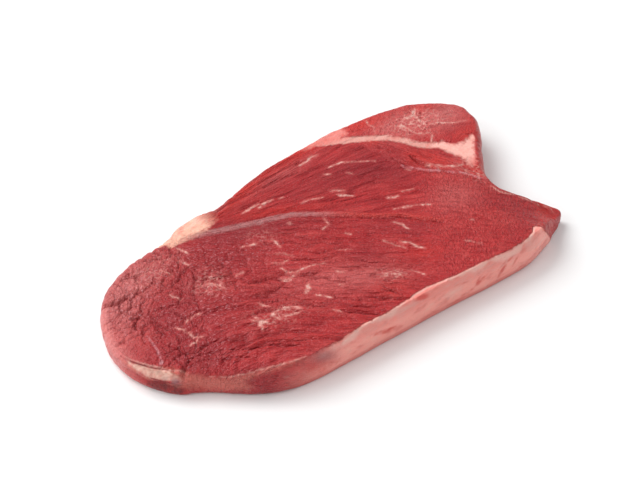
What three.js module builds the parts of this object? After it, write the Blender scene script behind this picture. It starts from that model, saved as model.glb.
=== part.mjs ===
// Raw beef shoulder steak: one slab of meat, flat underneath, with a gently
// swollen cut face, a fat cap along the front, a notch and a thin tip at the
// right, a rounded lobe behind the notch and two soft fat pads on the back.
// Millimetres, +Z up, long axis along X, fat cap towards -Y, resting on z = 0.
import * as THREE from 'three';

// ---- grid ----
const ALONG = 66; // cells of the cut face from the left end to the right end
const ACROSS = 32; // cells of the cut face from the fat cap to the back
const UPPER_ROWS = 6; // rows of the rim from the cut face down to its widest line
const LOWER_ROWS = 4; // rows of the rim from there down to the underside
const FINE = 24; // samples per span of a spline, for even spacing
const COARSE = 2; // cells of the cut face per cell of the underside

// ---- slab ----
const THICKNESS = 20.3; // height of the cut face over the middle
const SECTION = 2.5; // exponent of the rim's section: 2 is round, more is squarer
const QUARTER = Math.PI / 2;
const ORIGIN = [4.56, 9.91]; // centre of the slab's plan in the numbers below
const TURN_SPREAD = 3; // stations over which the rim's outward direction is smoothed

// ---- outline at its widest, from the left end round the front ----
// crown: how far in from the widest line the cut face begins
// waist: height of the widest line
// heel: how far in the underside begins
const RIM = [
  // fold at the left end's front
  { crown: 5, waist: 5.5, heel: 3, at: [[-126, 8], [-124.2, -5.5], [-118.8, -17.8], [-110.8, -27.6]] },
  // belly
  { crown: 9, waist: 6, heel: 4, at: [[-100.4, -34.2], [-91.2, -41.8], [-81.5, -49.5]] },
  { crown: 6, waist: 7, heel: 4, at: [[-71, -55.5]] },
  // fat cap
  { crown: 1.6, waist: 9, heel: 1.6, at: [[-58, -58], [-40, -58.9], [-8, -58.8], [30, -58.8], [62, -59.8]] },
  { crown: 2.2, waist: 9, heel: 2.4, at: [[82, -60], [97, -57.2]] },
  // tip
  { crown: 2.5, waist: 3.5, heel: 4, at: [[107, -53.2], [113, -49.6], [119.2, -47], [125.6, -42.2]] },
  { crown: 3, waist: 6, heel: 5, at: [[119.5, -35.5], [112.3, -29.3], [106.7, -23.3]] },
  { crown: 4, waist: 8, heel: 3, at: [[103, -15.5], [104, -6]] }, // notch
  { crown: 6, waist: 5, heel: 2, at: [[110, 3.5], [118, 14], [126, 24], [133, 34]] }, // lobe's wall
  { crown: 6, waist: 7, heel: 3, at: [[134.4, 42.5], [135, 50], [130.5, 58]] }, // lobe
  { crown: 4.5, waist: 10, heel: 4, at: [[117.2, 66.3], [108, 71.5], [98, 73.5], [86, 75.5], [74, 76.5]] },
  { crown: 6, waist: 8, heel: 4, at: [[66, 78.5], [57, 80], [48, 78]] }, // right fat pad
  { crown: 4.5, waist: 10, heel: 4, at: [[38, 75.5], [22, 74], [8, 72], [-8, 68], [-22, 63.5]] },
  { crown: 6, waist: 8, heel: 4, at: [[-33, 62], [-43, 65], [-54, 63.5], [-62, 58.5]] }, // left fat pad
  { crown: 6, waist: 9, heel: 4, at: [[-70, 55.5], [-84, 54]] },
  // left end
  { crown: 6, waist: 6.5, heel: 4, at: [[-97, 51.5], [-109.8, 44.6], [-118.7, 33.4], [-123.9, 20.7]] },
];
// outline points where the four sides of the cut face meet, counted in RIM
const FRONT_LEFT = 3;
const FRONT_RIGHT = 18;
const BACK_RIGHT = 29;
const BACK_LEFT = 51;

// ---- broad swells and hollows of the cut face: centre, reaches, turn, rise ----
const SWELLS = [
  { at: [-134, 8], reach: [44, 70], turn: 0, rise: -8 }, // thin left end
  { at: [-97, -48], reach: [36, 18], turn: -35, rise: -4.5 }, // sloping belly
  { at: [123, -47], reach: [25, 17], turn: -35, rise: -8 }, // thin tip
  { at: [123, -46], reach: [12, 9], turn: -35, rise: -5 }, // its end, thinner still
  { at: [-49, 66], reach: [15, 8], turn: 6, rise: -7.5 }, // left fat pad lies low
  { at: [57, 82], reach: [12, 7.5], turn: 0, rise: -6.5 }, // right fat pad lies low
  { at: [-115, 0], reach: [8, 14], turn: 10, rise: 1.4 }, // small muscle of the left end
  { at: [-35, -18], reach: [50, 26], turn: -4, rise: 0.9 }, // long main muscle
  { at: [20, 48], reach: [46, 13], turn: -8, rise: 0.8 }, // fanned middle muscle
  { at: [98, 50], reach: [26, 15], turn: -12, rise: 0.9 }, // upper lobe
  { at: [84, -12], reach: [22, 20], turn: 0, rise: 0.5 }, // right of the main muscle
];

// ---- narrow lines on the cut face: depth below (or ridge above) it, half width ----
const LINES = [
  { rise: 0.8, half: 3.2, path: [[-58, 48], [-42, 44], [-22, 37], [-2, 31], [16, 19.5]] }, // wide seam
  { rise: -1.3, half: 3, path: [[14, 18], [26, 8], [38, -2], [50, -12], [58, -20]] }, // seam's groove
  { rise: -1, half: 3.4, path: [[48, 68], [62, 61], [75, 53], [86, 38], [96, 30]] }, // fat seam
  { rise: -1.8, half: 2.8, path: [[79, 33], [81, 27], [85, 20]] }, // deep pit
  { rise: -0.9, half: 2.6, path: [[72, 22], [82, 12], [92, 3], [99, -8]] }, // fine seam
  { rise: -1.1, half: 3, path: [[-68, 26], [-71, 18], [-78, 8], [-80, -1]] }, // curved crease
  { rise: -1.2, half: 2.8, path: [[-109, 34.5], [-103.5, 32.5], [-98, 33.5]] }, // gash
  { rise: -0.9, half: 3, path: [[-80, -2], [-66, -9], [-54, -15], [-40, -20]] }, // long creases
  { rise: -0.8, half: 3, path: [[-84, -31], [-72, -37], [-60, -44], [-50, -50]] },
  { rise: -0.8, half: 3, path: [[-20, -35], [-10, -43], [0, -48]] },
  { rise: -0.7, half: 3, path: [[-108, -24], [-96, -28], [-87, -34]] },
  { rise: -0.7, half: 3, path: [[-108, 11.5], [-108, 0], [-109.5, -8]] },
];

// ---- lengthwise ripples of the muscle fibres on the cut face ----
const RIPPLE_RISE = 0.32;
const RIPPLE_TURN = -36; // degrees, the way the fibres run
const RIPPLE_PITCH = 14;
const RIPPLE_BENDS = [{ length: 46, sway: 1.7 }, { length: 29, sway: 1.2 }];
const RIPPLE_PATCH = 63; // length over which the ripples come and go

// ---- grooves of the rim: between which heights and x positions, how deep ----
const FOLDS = [
  { from: [-125.5, -1], to: [-114, -22], height: 12, half: 1.3, depth: 1.6 }, // under the left muscle
  { from: [-121, -13], to: [-112, -27], height: 6.4, half: 1.4, depth: 1.7 }, // under the pale skin
];
const FOLD_FADE = 7; // length over which a groove runs out

const radians = (degrees) => (degrees * Math.PI) / 180;
const bell = (q) => Math.exp(-q * q);
const wave = (along, length) => Math.sin((2 * Math.PI * along) / length);

/** Uniform Catmull-Rom spline through rows of numbers, closed or open, at span + fraction t. */
function spline(rows, t, closed) {
  const spans = closed ? rows.length : rows.length - 1;
  const span = Math.min(Math.floor(t), spans - 1);
  const f = t - span;
  const row = (k) => (closed ? rows[(span + k + rows.length) % rows.length]
    : rows[Math.min(Math.max(span + k, 0), spans)]);
  const [a, b, c, d] = [row(-1), row(0), row(1), row(2)];
  return b.map((q, k) => 0.5 * (2 * q + (c[k] - a[k]) * f
    + (2 * a[k] - 5 * q + 4 * c[k] - d[k]) * f * f
    + (3 * q - a[k] - 3 * c[k] + d[k]) * f * f * f));
}

/** Outline rows [x, y, crown, waist, heel] evenly spaced from one outline point to another. */
function side(rows, from, to, cells) {
  const samples = [];
  for (let k = 0; k <= (to - from) * FINE; k += 1) {
    samples.push(spline(rows, (from + k / FINE) % rows.length, true));
  }
  const run = [0];
  for (let k = 1; k < samples.length; k += 1) {
    const step = Math.hypot(samples[k][0] - samples[k - 1][0], samples[k][1] - samples[k - 1][1]);
    run.push(run[k - 1] + step);
  }
  const even = [];
  let k = 1;
  for (let cell = 0; cell < cells; cell += 1) {
    const goal = (run[run.length - 1] * cell) / cells;
    while (run[k] < goal) k += 1;
    const f = (goal - run[k - 1]) / (run[k] - run[k - 1]);
    even.push(samples[k - 1].map((q, n) => q + (samples[k][n] - q) * f));
  }
  return even;
}

/** Distance from a point to a polyline. */
function distance(x, y, path) {
  let least = Infinity;
  for (let k = 1; k < path.length; k += 1) {
    const [ax, ay] = path[k - 1];
    const [bx, by] = [path[k][0] - ax, path[k][1] - ay];
    const f = Math.min(Math.max(((x - ax) * bx + (y - ay) * by) / (bx * bx + by * by), 0), 1);
    least = Math.min(least, Math.hypot(x - ax - f * bx, y - ay - f * by));
  }
  return least;
}

/** Height of the cut face over the middle level, without its narrow lines. */
function broadHeight(x, y) {
  return SWELLS.reduce((height, { at, reach, turn, rise }) => {
    const [c, s] = [Math.cos(radians(turn)), Math.sin(radians(turn))];
    const [dx, dy] = [x - at[0], y - at[1]];
    return height + rise * Math.exp(-(((dx * c + dy * s) / reach[0]) ** 2)
      - ((-dx * s + dy * c) / reach[1]) ** 2);
  }, THICKNESS);
}

/** Height of the cut face. */
function faceHeight(x, y) {
  const lines = LINES.reduce((sum, { rise, half, path }) => (
    sum + rise * bell(distance(x, y, path) / half)), 0);
  const [c, s] = [Math.cos(radians(RIPPLE_TURN)), Math.sin(radians(RIPPLE_TURN))];
  const [lengthwise, sideways] = [x * c + y * s, -x * s + y * c];
  const sway = RIPPLE_BENDS.reduce((sum, bend) => sum + bend.sway * wave(lengthwise, bend.length), 0);
  const strength = RIPPLE_RISE * wave(lengthwise + sideways, RIPPLE_PATCH);
  return broadHeight(x, y) + lines + strength * Math.sin((2 * Math.PI * sideways) / RIPPLE_PITCH + sway);
}

/** How far the rim is drawn in at a height by the grooves that run along it. */
function foldDepth(x, y, z) {
  return FOLDS.reduce((sum, { from, to, height, half, depth }) => {
    const gap = Math.max(distance(x, y, [from, to]) - FOLD_FADE, 0) / FOLD_FADE;
    return sum + depth * bell((z - height) / half) * bell(gap);
  }, 0);
}

/** The rim's stations all the way round, each with its outward direction. */
function rimStations() {
  const rows = RIM.flatMap(({ crown, waist, heel, at }) => at.map(([x, y]) => [x, y, crown, waist, heel]));
  const stations = [
    ...side(rows, FRONT_LEFT, FRONT_RIGHT, ALONG),
    ...side(rows, FRONT_RIGHT, BACK_RIGHT, ACROSS),
    ...side(rows, BACK_RIGHT, BACK_LEFT, ALONG),
    ...side(rows, BACK_LEFT, FRONT_LEFT + rows.length, ACROSS),
  ];
  return stations.map(([x, y, crown, waist, heel], k) => {
    const [before, after] = [stations.at(k - TURN_SPREAD), stations[(k + TURN_SPREAD) % stations.length]];
    const out = new THREE.Vector2(after[1] - before[1], before[0] - after[0]).normalize();
    return { x, y, crown, waist, heel, out };
  });
}

/** A point of the rim at an angle of its section: a quarter turn up is the cut face's edge. */
function rimPoint({ x, y, crown, waist, heel, out }, angle) {
  const [reach, level] = angle > 0
    ? [crown, faceHeight(x - out.x * crown, y - out.y * crown) - waist] : [heel, waist];
  const inward = reach * (1 - Math.cos(angle) ** (2 / SECTION));
  const z = waist + Math.sign(angle) * level * Math.abs(Math.sin(angle)) ** (2 / SECTION);
  const inset = inward + foldDepth(x, y, z) * Math.cos(angle) ** (2 / SECTION);
  return [x - out.x * inset, y - out.y * inset, z];
}

/** Coons patch over the four sides of a closed ring of points: rows of [x, y], front to back. */
function patch(ring, along, across) {
  const front = ring.slice(0, along + 1);
  const right = ring.slice(along, along + across + 1);
  const back = ring.slice(along + across, 2 * along + across + 1).reverse();
  const left = [...ring.slice(2 * along + across), ring[0]].reverse();
  const mix = (a, b, f) => a + (b - a) * f;
  const rows = [];
  for (let j = 0; j <= across; j += 1) {
    const v = j / across;
    rows.push(front.map((_, i) => {
      const u = i / along;
      return [0, 1].map((k) => mix(front[i][k], back[i][k], v) + mix(left[j][k], right[j][k], u)
        - mix(mix(front[0][k], front[along][k], u), mix(back[0][k], back[along][k], u), v));
    }));
  }
  return rows;
}

/** Collects points and faces of the closed surface. */
class Surface {
  constructor() {
    this.points = [];
    this.faces = [];
  }

  add(point) {
    this.points.push(...point);
    return this.points.length / 3 - 1;
  }

  triangle(a, b, c) {
    this.faces.push(a, b, c);
  }

  /** Four-sided cell, split along the diagonal that changes height least. */
  quad(a, b, c, d) {
    const height = (index) => this.points[3 * index + 2];
    const turned = Math.abs(height(b) - height(d)) < Math.abs(height(a) - height(c));
    const [p, q, r, s] = turned ? [b, c, d, a] : [a, b, c, d];
    this.triangle(p, q, r);
    this.triangle(p, r, s);
  }

  /** Indices of a patch's points: its border is taken from a ring, its inside is new. */
  fill(rows, ring, height) {
    const [across, along] = [rows.length - 1, rows[0].length - 1];
    return rows.map((row, j) => row.map(([x, y], i) => {
      if (j === 0) return ring[i];
      if (i === along) return ring[along + j];
      if (j === across) return ring[2 * along + across - i];
      if (i === 0) return ring[(2 * (along + across) - j) % ring.length];
      return this.add([x, y, height(x, y)]);
    }));
  }
}

function steakGeometry() {
  const surface = new Surface();
  const stations = rimStations();

  // rim, from the cut face's edge down to the underside's edge
  const angles = [
    ...Array.from({ length: UPPER_ROWS }, (_, k) => QUARTER * (1 - k / UPPER_ROWS)),
    ...Array.from({ length: LOWER_ROWS + 1 }, (_, k) => (-QUARTER * k) / LOWER_ROWS),
  ];
  const rings = angles.map((angle) => stations.map((station) => surface.add(rimPoint(station, angle))));
  for (let r = 1; r < rings.length; r += 1) {
    stations.forEach((_, k) => {
      const next = (k + 1) % stations.length;
      surface.quad(rings[r][k], rings[r][next], rings[r - 1][next], rings[r - 1][k]);
    });
  }
  const place = (index) => surface.points.slice(3 * index, 3 * index + 2);

  // cut face
  const face = surface.fill(patch(rings[0].map(place), ALONG, ACROSS), rings[0], faceHeight);
  for (let j = 0; j < ACROSS; j += 1) {
    for (let i = 0; i < ALONG; i += 1) {
      surface.quad(face[j][i], face[j][i + 1], face[j + 1][i + 1], face[j + 1][i]);
    }
  }

  // underside: a coarser flat grid whose outer cells take up the rim's extra points
  const edge = rings[rings.length - 1];
  const sparse = edge.filter((_, k) => k % COARSE === 0);
  const [wide, deep] = [ALONG / COARSE, ACROSS / COARSE];
  const flat = surface.fill(patch(sparse.map(place), wide, deep), sparse, () => 0);
  const ringStep = (a, b) => {
    const [from, to] = [edge.indexOf(a), edge.indexOf(b)];
    if (from < 0 || to < 0) return [];
    const gap = (to - from + edge.length) % edge.length;
    if (gap === COARSE) return [edge[(from + 1) % edge.length]];
    return gap === edge.length - COARSE ? [edge[(to + 1) % edge.length]] : [];
  };
  for (let j = 0; j < deep; j += 1) {
    for (let i = 0; i < wide; i += 1) {
      const cell = [flat[j][i], flat[j + 1][i], flat[j + 1][i + 1], flat[j][i + 1]];
      const border = cell.flatMap((a, k) => [a, ...ringStep(a, cell[(k + 1) % 4])]);
      const hub = border.findIndex((a) => !edge.includes(a));
      const start = Math.max(hub, 0);
      for (let k = 1; k < border.length - 1; k += 1) {
        surface.triangle(border[start], border[(start + k) % border.length],
          border[(start + k + 1) % border.length]);
      }
    }
  }

  const geometry = new THREE.BufferGeometry();
  geometry.setAttribute('position', new THREE.Float32BufferAttribute(surface.points, 3));
  geometry.setIndex(surface.faces);
  geometry.translate(-ORIGIN[0], -ORIGIN[1], 0);
  geometry.computeVertexNormals();
  return geometry;
}

const beef = new THREE.MeshStandardMaterial({ color: 0xb04044, roughness: 0.45, metalness: 0 });
const steak = new THREE.Mesh(steakGeometry(), beef);
steak.name = 'steak';

const part = new THREE.Group();
part.name = 'raw_beef_shoulder_steak';
part.add(steak);

export default part;
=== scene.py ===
"""Raw beef shoulder steak: one slab of meat with its seams, marbling, fat cap and silverskin.

Plan positions are in millimetres on the slab's own drawing: the long axis along +X, the fat
cap towards -Y, +Z up from the underside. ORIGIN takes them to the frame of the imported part.
Most lines and patches are noted on the level plane at LEVEL. CutFace.settle moves them down
the line of sight to the cut face, and CutFace.rim_marks does the same for the rim.
"""

from __future__ import annotations

import itertools
import logging
import math
from dataclasses import dataclass, field
from enum import Enum
from typing import Any

import bpy
import numpy as np
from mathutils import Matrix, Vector


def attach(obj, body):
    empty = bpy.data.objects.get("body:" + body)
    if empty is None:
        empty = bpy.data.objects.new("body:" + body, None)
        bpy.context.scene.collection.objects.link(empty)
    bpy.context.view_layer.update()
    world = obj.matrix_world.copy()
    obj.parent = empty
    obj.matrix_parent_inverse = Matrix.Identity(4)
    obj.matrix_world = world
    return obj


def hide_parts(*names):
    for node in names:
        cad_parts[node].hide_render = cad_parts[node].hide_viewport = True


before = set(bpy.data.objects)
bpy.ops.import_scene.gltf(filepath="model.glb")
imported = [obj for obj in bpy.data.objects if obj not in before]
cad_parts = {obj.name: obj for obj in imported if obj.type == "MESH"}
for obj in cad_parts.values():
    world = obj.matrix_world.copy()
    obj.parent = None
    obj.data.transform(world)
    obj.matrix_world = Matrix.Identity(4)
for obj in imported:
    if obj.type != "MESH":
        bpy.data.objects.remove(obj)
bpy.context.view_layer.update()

LOG = logging.getLogger("steak")
MM = 0.001  # metres in a millimetre
ORIGIN = (4.56, 9.91)  # centre of the slab's plan on the drawing
LEVEL = 20.0  # height of the plane that lines and patches are noted on
SIGHT = (0.66, 0.893)  # how far the line of sight runs in plan for each millimetre down
FAR = 8.0  # depths inside and outside a zone are cut off here

Points = tuple[tuple[float, float], ...]
Array = np.ndarray


# ---------------------------------------------------------------- noise and curves


def linear(hex_colour: str) -> tuple[float, float, float, float]:
    """Turn an sRGB hex colour into linear red, green, blue and alpha.

    Args:
        hex_colour: Six hex digits after a hash sign.

    Returns:
        The linear colour with alpha 1.
    """
    parts = [int(hex_colour[k : k + 2], 16) / 255 for k in (1, 3, 5)]
    out = [c / 12.92 if c <= 0.04045 else ((c + 0.055) / 1.055) ** 2.4 for c in parts]
    return (out[0], out[1], out[2], 1.0)


def ramp(low: float, high: float, value: Array) -> Array:
    """Smooth step: 0 below low, 1 above high, an S curve 3t^2 - 2t^3 between.

    Args:
        low: Value where the step starts; it may be above high for a falling step.
        high: Value where the step ends.
        value: The numbers to pass through the step.

    Returns:
        Numbers from 0 to 1.
    """
    t = np.clip((value - low) / (high - low), 0.0, 1.0)
    return t * t * (3 - 2 * t)


def bell(value: Array) -> Array:
    """Bell curve, exp(-value^2)."""
    return np.exp(-(value**2))


def scatter(cell: Array, seed: int) -> Array:
    """Pseudo-random numbers from 0 to 1 for integer cells, by mixing the bits of the cell.

    Args:
        cell: Whole-number positions, one row each.
        seed: Picks another set of numbers.

    Returns:
        One number per row.
    """
    mixed = np.full(cell.shape[0], (seed * 0x27D4EB2F) & 0xFFFFFFFF, dtype=np.uint32)
    for axis, prime in zip(range(cell.shape[1]), (0x9E3779B1, 0x85EBCA77, 0xC2B2AE3D)):
        mixed ^= cell[:, axis].astype(np.int64).astype(np.uint32) * np.uint32(prime)
        mixed ^= mixed >> np.uint32(15)
        mixed *= np.uint32(0x2C1B3C6D)
        mixed ^= mixed >> np.uint32(13)
    return mixed / 2**32


def noise(points: Array, seed: int) -> Array:
    """Gradient noise, about -1 to 1: random slopes at whole positions, blended smoothly between.

    Args:
        points: Positions in units of the noise's grid, two or three columns.
        seed: Picks another pattern.

    Returns:
        One number per point.
    """
    base = np.floor(points)
    part = points - base
    blend = part**3 * (part * (part * 6 - 15) + 10)
    total = np.zeros(points.shape[0])
    for corner in itertools.product((0, 1), repeat=points.shape[1]):
        offset = np.array(corner)
        slopes = [2 * scatter(base + offset, seed * 7 + k) - 1 for k in range(points.shape[1])]
        lift = (np.stack(slopes, 1) * (part - offset)).sum(1)
        total += lift * np.prod(np.where(offset == 1, blend, 1 - blend), axis=1)
    return total * 1.7


def layered(points: Array, seed: int, layers: int = 3) -> Array:
    """Sum of noise layers, each of half the pitch and half the strength of the last.

    Args:
        points: Positions in units of the coarsest grid.
        seed: Picks another pattern.
        layers: How many layers.

    Returns:
        One number per point, about -1 to 1.
    """
    parts = [noise(points * 2**k + 3.1 * k, seed + k) * 0.5**k for k in range(layers)]
    return sum(parts) / 1.4


def cells(points: Array, seed: int) -> Array:
    """How far each point is inside its cell of a random honeycomb: 0 on the walls.

    The cells are those of one jittered seed point per grid square; the value is the
    distance to the second nearest seed minus the distance to the nearest.

    Args:
        points: Positions in units of the cell size, two columns.
        seed: Picks another honeycomb.

    Returns:
        One number per point, from 0 on a wall to about 1 in the middle.
    """
    base = np.floor(points)
    nearest = np.full(points.shape[0], 9.0)
    second = nearest.copy()
    for step in itertools.product((-1, 0, 1), repeat=2):
        square = base + np.array(step)
        seeds = np.stack([scatter(square, seed + k) for k in (11, 23)], 1) * 0.86 + 0.07
        away = np.hypot(*(square + seeds - points).T)
        second = np.where(away < nearest, nearest, np.minimum(second, away))
        nearest = np.minimum(nearest, away)
    return second - nearest


def catmull(rows: Array, at: Array) -> Array:
    """Closed uniform Catmull-Rom spline through rows of numbers.

    Args:
        rows: One row per point of the spline; the last runs on to the first.
        at: Span number plus fraction, one per wanted row.

    Returns:
        One row per entry of at.
    """
    span = np.floor(at).astype(int)
    f = (at - span)[:, None]
    a, b, c, d = (rows[(span + k) % len(rows)] for k in (-1, 0, 1, 2))
    cubic = (2 * a - 5 * b + 4 * c - d) * f**2 + (3 * b - a - 3 * c + d) * f**3
    return 0.5 * (2 * b + (c - a) * f + cubic)


@dataclass(frozen=True)
class Near:
    """Where points lie beside a line.

    The distance away, the same with a plus sign on the left side of the way the line runs,
    and the place along the line, from 0 to 1, evenly over its corners.
    """

    away: Array
    side: Array
    place: Array

    def taper(self, least: float, power: float, floor: float = 0.0) -> Array:
        """Share of a line's width, least + (1 - least) max(sin(pi place), floor)^power."""
        return least + (1 - least) * np.maximum(np.sin(math.pi * self.place), floor) ** power

    def width(self, widths: tuple[float, ...]) -> Array:
        """Width at each place, where the given widths are spread evenly over the corners."""
        return np.interp(self.place, np.linspace(0, 1, len(widths)), widths)


def beside(x: Array, y: Array, path: Points | Array) -> Near:
    """Nearest point of a polyline: the foot of the perpendicular on its closest stretch.

    Args:
        x: Plan positions.
        y: Plan positions.
        path: Corners of the polyline.

    Returns:
        Where each position lies beside it.
    """
    corners = np.asarray(path, dtype=float)
    away = np.full(x.shape, 1e9)
    side, place = away.copy(), np.zeros(x.shape)
    for k, ((ax, ay), (bx, by)) in enumerate(zip(corners, np.diff(corners, axis=0))):
        f = np.clip(((x - ax) * bx + (y - ay) * by) / (bx * bx + by * by), 0, 1)
        gap = np.hypot(x - ax - f * bx, y - ay - f * by)
        sign = np.where(bx * (y - ay) - by * (x - ax) >= 0, 1.0, -1.0)
        closer = gap < away
        away = np.where(closer, gap, away)
        side = np.where(closer, gap * sign, side)
        place = np.where(closer, k + f, place)
    return Near(away, side, place / (len(corners) - 1))


def inside_of(x: Array, y: Array, corners: Points) -> Array:
    """Depth inside a polygon, minus the distance to it outside.

    A point is inside where a line from it towards +X crosses the border an odd number of times.

    Args:
        x: Plan positions.
        y: Plan positions.
        corners: The polygon's corners.

    Returns:
        Millimetres, positive inside.
    """
    ring = np.array([*corners, corners[0]], dtype=float)
    crossings = np.zeros(x.shape, dtype=int)
    for (ax, ay), (bx, by) in zip(ring[:-1], ring[1:]):
        spans = (ay > y) != (by > y)
        crossings += spans & (x < ax + (y - ay) * (bx - ax) / (by - ay + 1e-12))
    away = beside(x, y, ring).away
    return np.where(crossings % 2 == 1, away, -away)


# ---------------------------------------------------------------- the slab's outline


@dataclass(frozen=True)
class Stretch:
    """One stretch of the rim: the points that its widest line runs through, and its section.

    The crown is how far in the cut face begins, the waist is the height of the widest line,
    and the heel is how far in the underside begins.
    """

    crown: float
    waist: float
    heel: float
    at: Points


@dataclass
class Stations:
    """Points all the way round the rim at its widest, with the section's sizes at each."""

    xy: Array
    crown: Array
    waist: Array
    heel: Array
    out: Array


@dataclass
class Outline:
    """The closed outline of the slab at its widest, from the left end round the front."""

    stretches: tuple[Stretch, ...] = (
        # fold at the left end's front, then the belly
        Stretch(5, 5.5, 3, ((-126, 8), (-124.2, -5.5), (-118.8, -17.8), (-110.8, -27.6))),
        Stretch(9, 6, 4, ((-100.4, -34.2), (-91.2, -41.8), (-81.5, -49.5))),
        Stretch(6, 7, 4, ((-71, -55.5),)),
        # fat cap
        Stretch(1.6, 9, 1.6, ((-58, -58), (-40, -58.9), (-8, -58.8), (30, -58.8), (62, -59.8))),
        Stretch(2.2, 9, 2.4, ((82, -60), (97, -57.2))),
        # tip
        Stretch(2.5, 3.5, 4, ((107, -53.2), (113, -49.6), (119.2, -47), (125.6, -42.2))),
        Stretch(3, 6, 5, ((119.5, -35.5), (112.3, -29.3), (106.7, -23.3))),
        # notch, then the lobe's wall
        Stretch(4, 8, 3, ((103, -15.5), (104, -6))),
        Stretch(6, 5, 2, ((110, 3.5), (118, 14), (126, 24), (133, 34))),
        # lobe
        Stretch(6, 7, 3, ((134.4, 42.5), (135, 50), (130.5, 58))),
        Stretch(4.5, 10, 4, ((117.2, 66.3), (108, 71.5), (98, 73.5), (86, 75.5), (74, 76.5))),
        # right fat pad
        Stretch(6, 8, 4, ((66, 78.5), (57, 80), (48, 78))),
        Stretch(4.5, 10, 4, ((38, 75.5), (22, 74), (8, 72), (-8, 68), (-22, 63.5))),
        # left fat pad
        Stretch(6, 8, 4, ((-33, 62), (-43, 65), (-54, 63.5), (-62, 58.5))),
        Stretch(6, 9, 4, ((-70, 55.5), (-84, 54))),
        # left end
        Stretch(6, 6.5, 4, ((-97, 51.5), (-109.8, 44.6), (-118.7, 33.4), (-123.9, 20.7))),
    )
    # points where the four sides of the cut face meet, samples per span of the spline, and
    # how far each way the outward direction is smoothed
    corners: tuple[int, int, int, int] = (3, 18, 29, 51)
    samples: int = 60
    turn_reach: float = 10.5

    def rows(self) -> Array:
        """Rows of x, y, crown, waist and heel, one per point."""
        return np.array([(*p, s.crown, s.waist, s.heel) for s in self.stretches for p in s.at])

    def stations(self, along: int, across: int) -> Stations:
        """Space points evenly along each of the outline's four sides.

        Args:
            along: Cells on the front and on the back side.
            across: Cells on the right and on the left end.

        Returns:
            The stations, with an outward direction square to a chord of turn_reach each way.
        """
        rows = self.rows()
        a, b, c, d = self.corners
        sides = ((a, b, along), (b, c, across), (c, d, along), (d, a + len(rows), across))
        even = []
        for start, end, count in sides:
            at = np.linspace(start, end, (end - start) * self.samples + 1)
            fine = catmull(rows, at)
            steps = np.hypot(*np.diff(fine[:, :2], axis=0).T)
            run = np.concatenate([[0.0], np.cumsum(steps)])
            goal = run[-1] * np.arange(count) / count
            even.append(np.stack([np.interp(goal, run, column) for column in fine.T], 1))
        ring = np.vstack(even)
        step = np.hypot(*(np.roll(ring[:, :2], -1, 0) - ring[:, :2]).T)
        reach = max(1, round(self.turn_reach / step.mean()))
        chord = np.roll(ring[:, :2], -reach, 0) - np.roll(ring[:, :2], reach, 0)
        out = np.stack([chord[:, 1], -chord[:, 0]], 1)
        out /= np.linalg.norm(out, axis=1)[:, None]
        return Stations(ring[:, :2], ring[:, 2], ring[:, 3], ring[:, 4], out)


# ---------------------------------------------------------------- the cut face


@dataclass(frozen=True)
class Swell:
    """A broad rise or hollow, or a soft patch: a bell over an ellipse, turned by degrees."""

    at: tuple[float, float]
    reach: tuple[float, float]
    turn: float
    rise: float

    def over(self, x: Array, y: Array) -> Array:
        """Height of the swell, rise exp(-(u/a)^2 - (v/b)^2) along and across its own axes."""
        c, s = math.cos(math.radians(self.turn)), math.sin(math.radians(self.turn))
        dx, dy = x - self.at[0], y - self.at[1]
        u, v = (dx * c + dy * s) / self.reach[0], (-dx * s + dy * c) / self.reach[1]
        return self.rise * np.exp(-u * u - v * v)


class Tint(Enum):
    """Broad shifts of the lean's look: darker; paler, partly painted light; oranger, partly the
    painted glow of backlit edges; laced with fat; painted glints.
    """

    DEEP = "deep"
    PALE = "pale"
    WARM_AND_GLOW = "warm_and_glow"
    MILKY = "milky"
    GLINT = "glint"


@dataclass(frozen=True)
class Stroke:
    """A streak, crease or thread: half its width and the points it runs through."""

    half: float
    path: Points


@dataclass(frozen=True)
class Seam:
    """A seam between muscles: the points it runs through and its half widths along them."""

    path: Points
    halves: tuple[float, ...] = ()


@dataclass(frozen=True)
class Bundles:
    """Fibre bundles of a muscle: which way they run, how wide, long and deep they are, and how much
    shade is painted into the creases between them.

    They run along the main muscle's fibres, along the middle muscle's fan, or straight at a
    turn in degrees. all_over is the share of the relief that is there beyond the front too.
    """

    muscle: str
    along: str | float
    pitch: float
    reach: float
    depth: float
    shade: float
    seed: int
    all_over: float = 1.0


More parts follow.
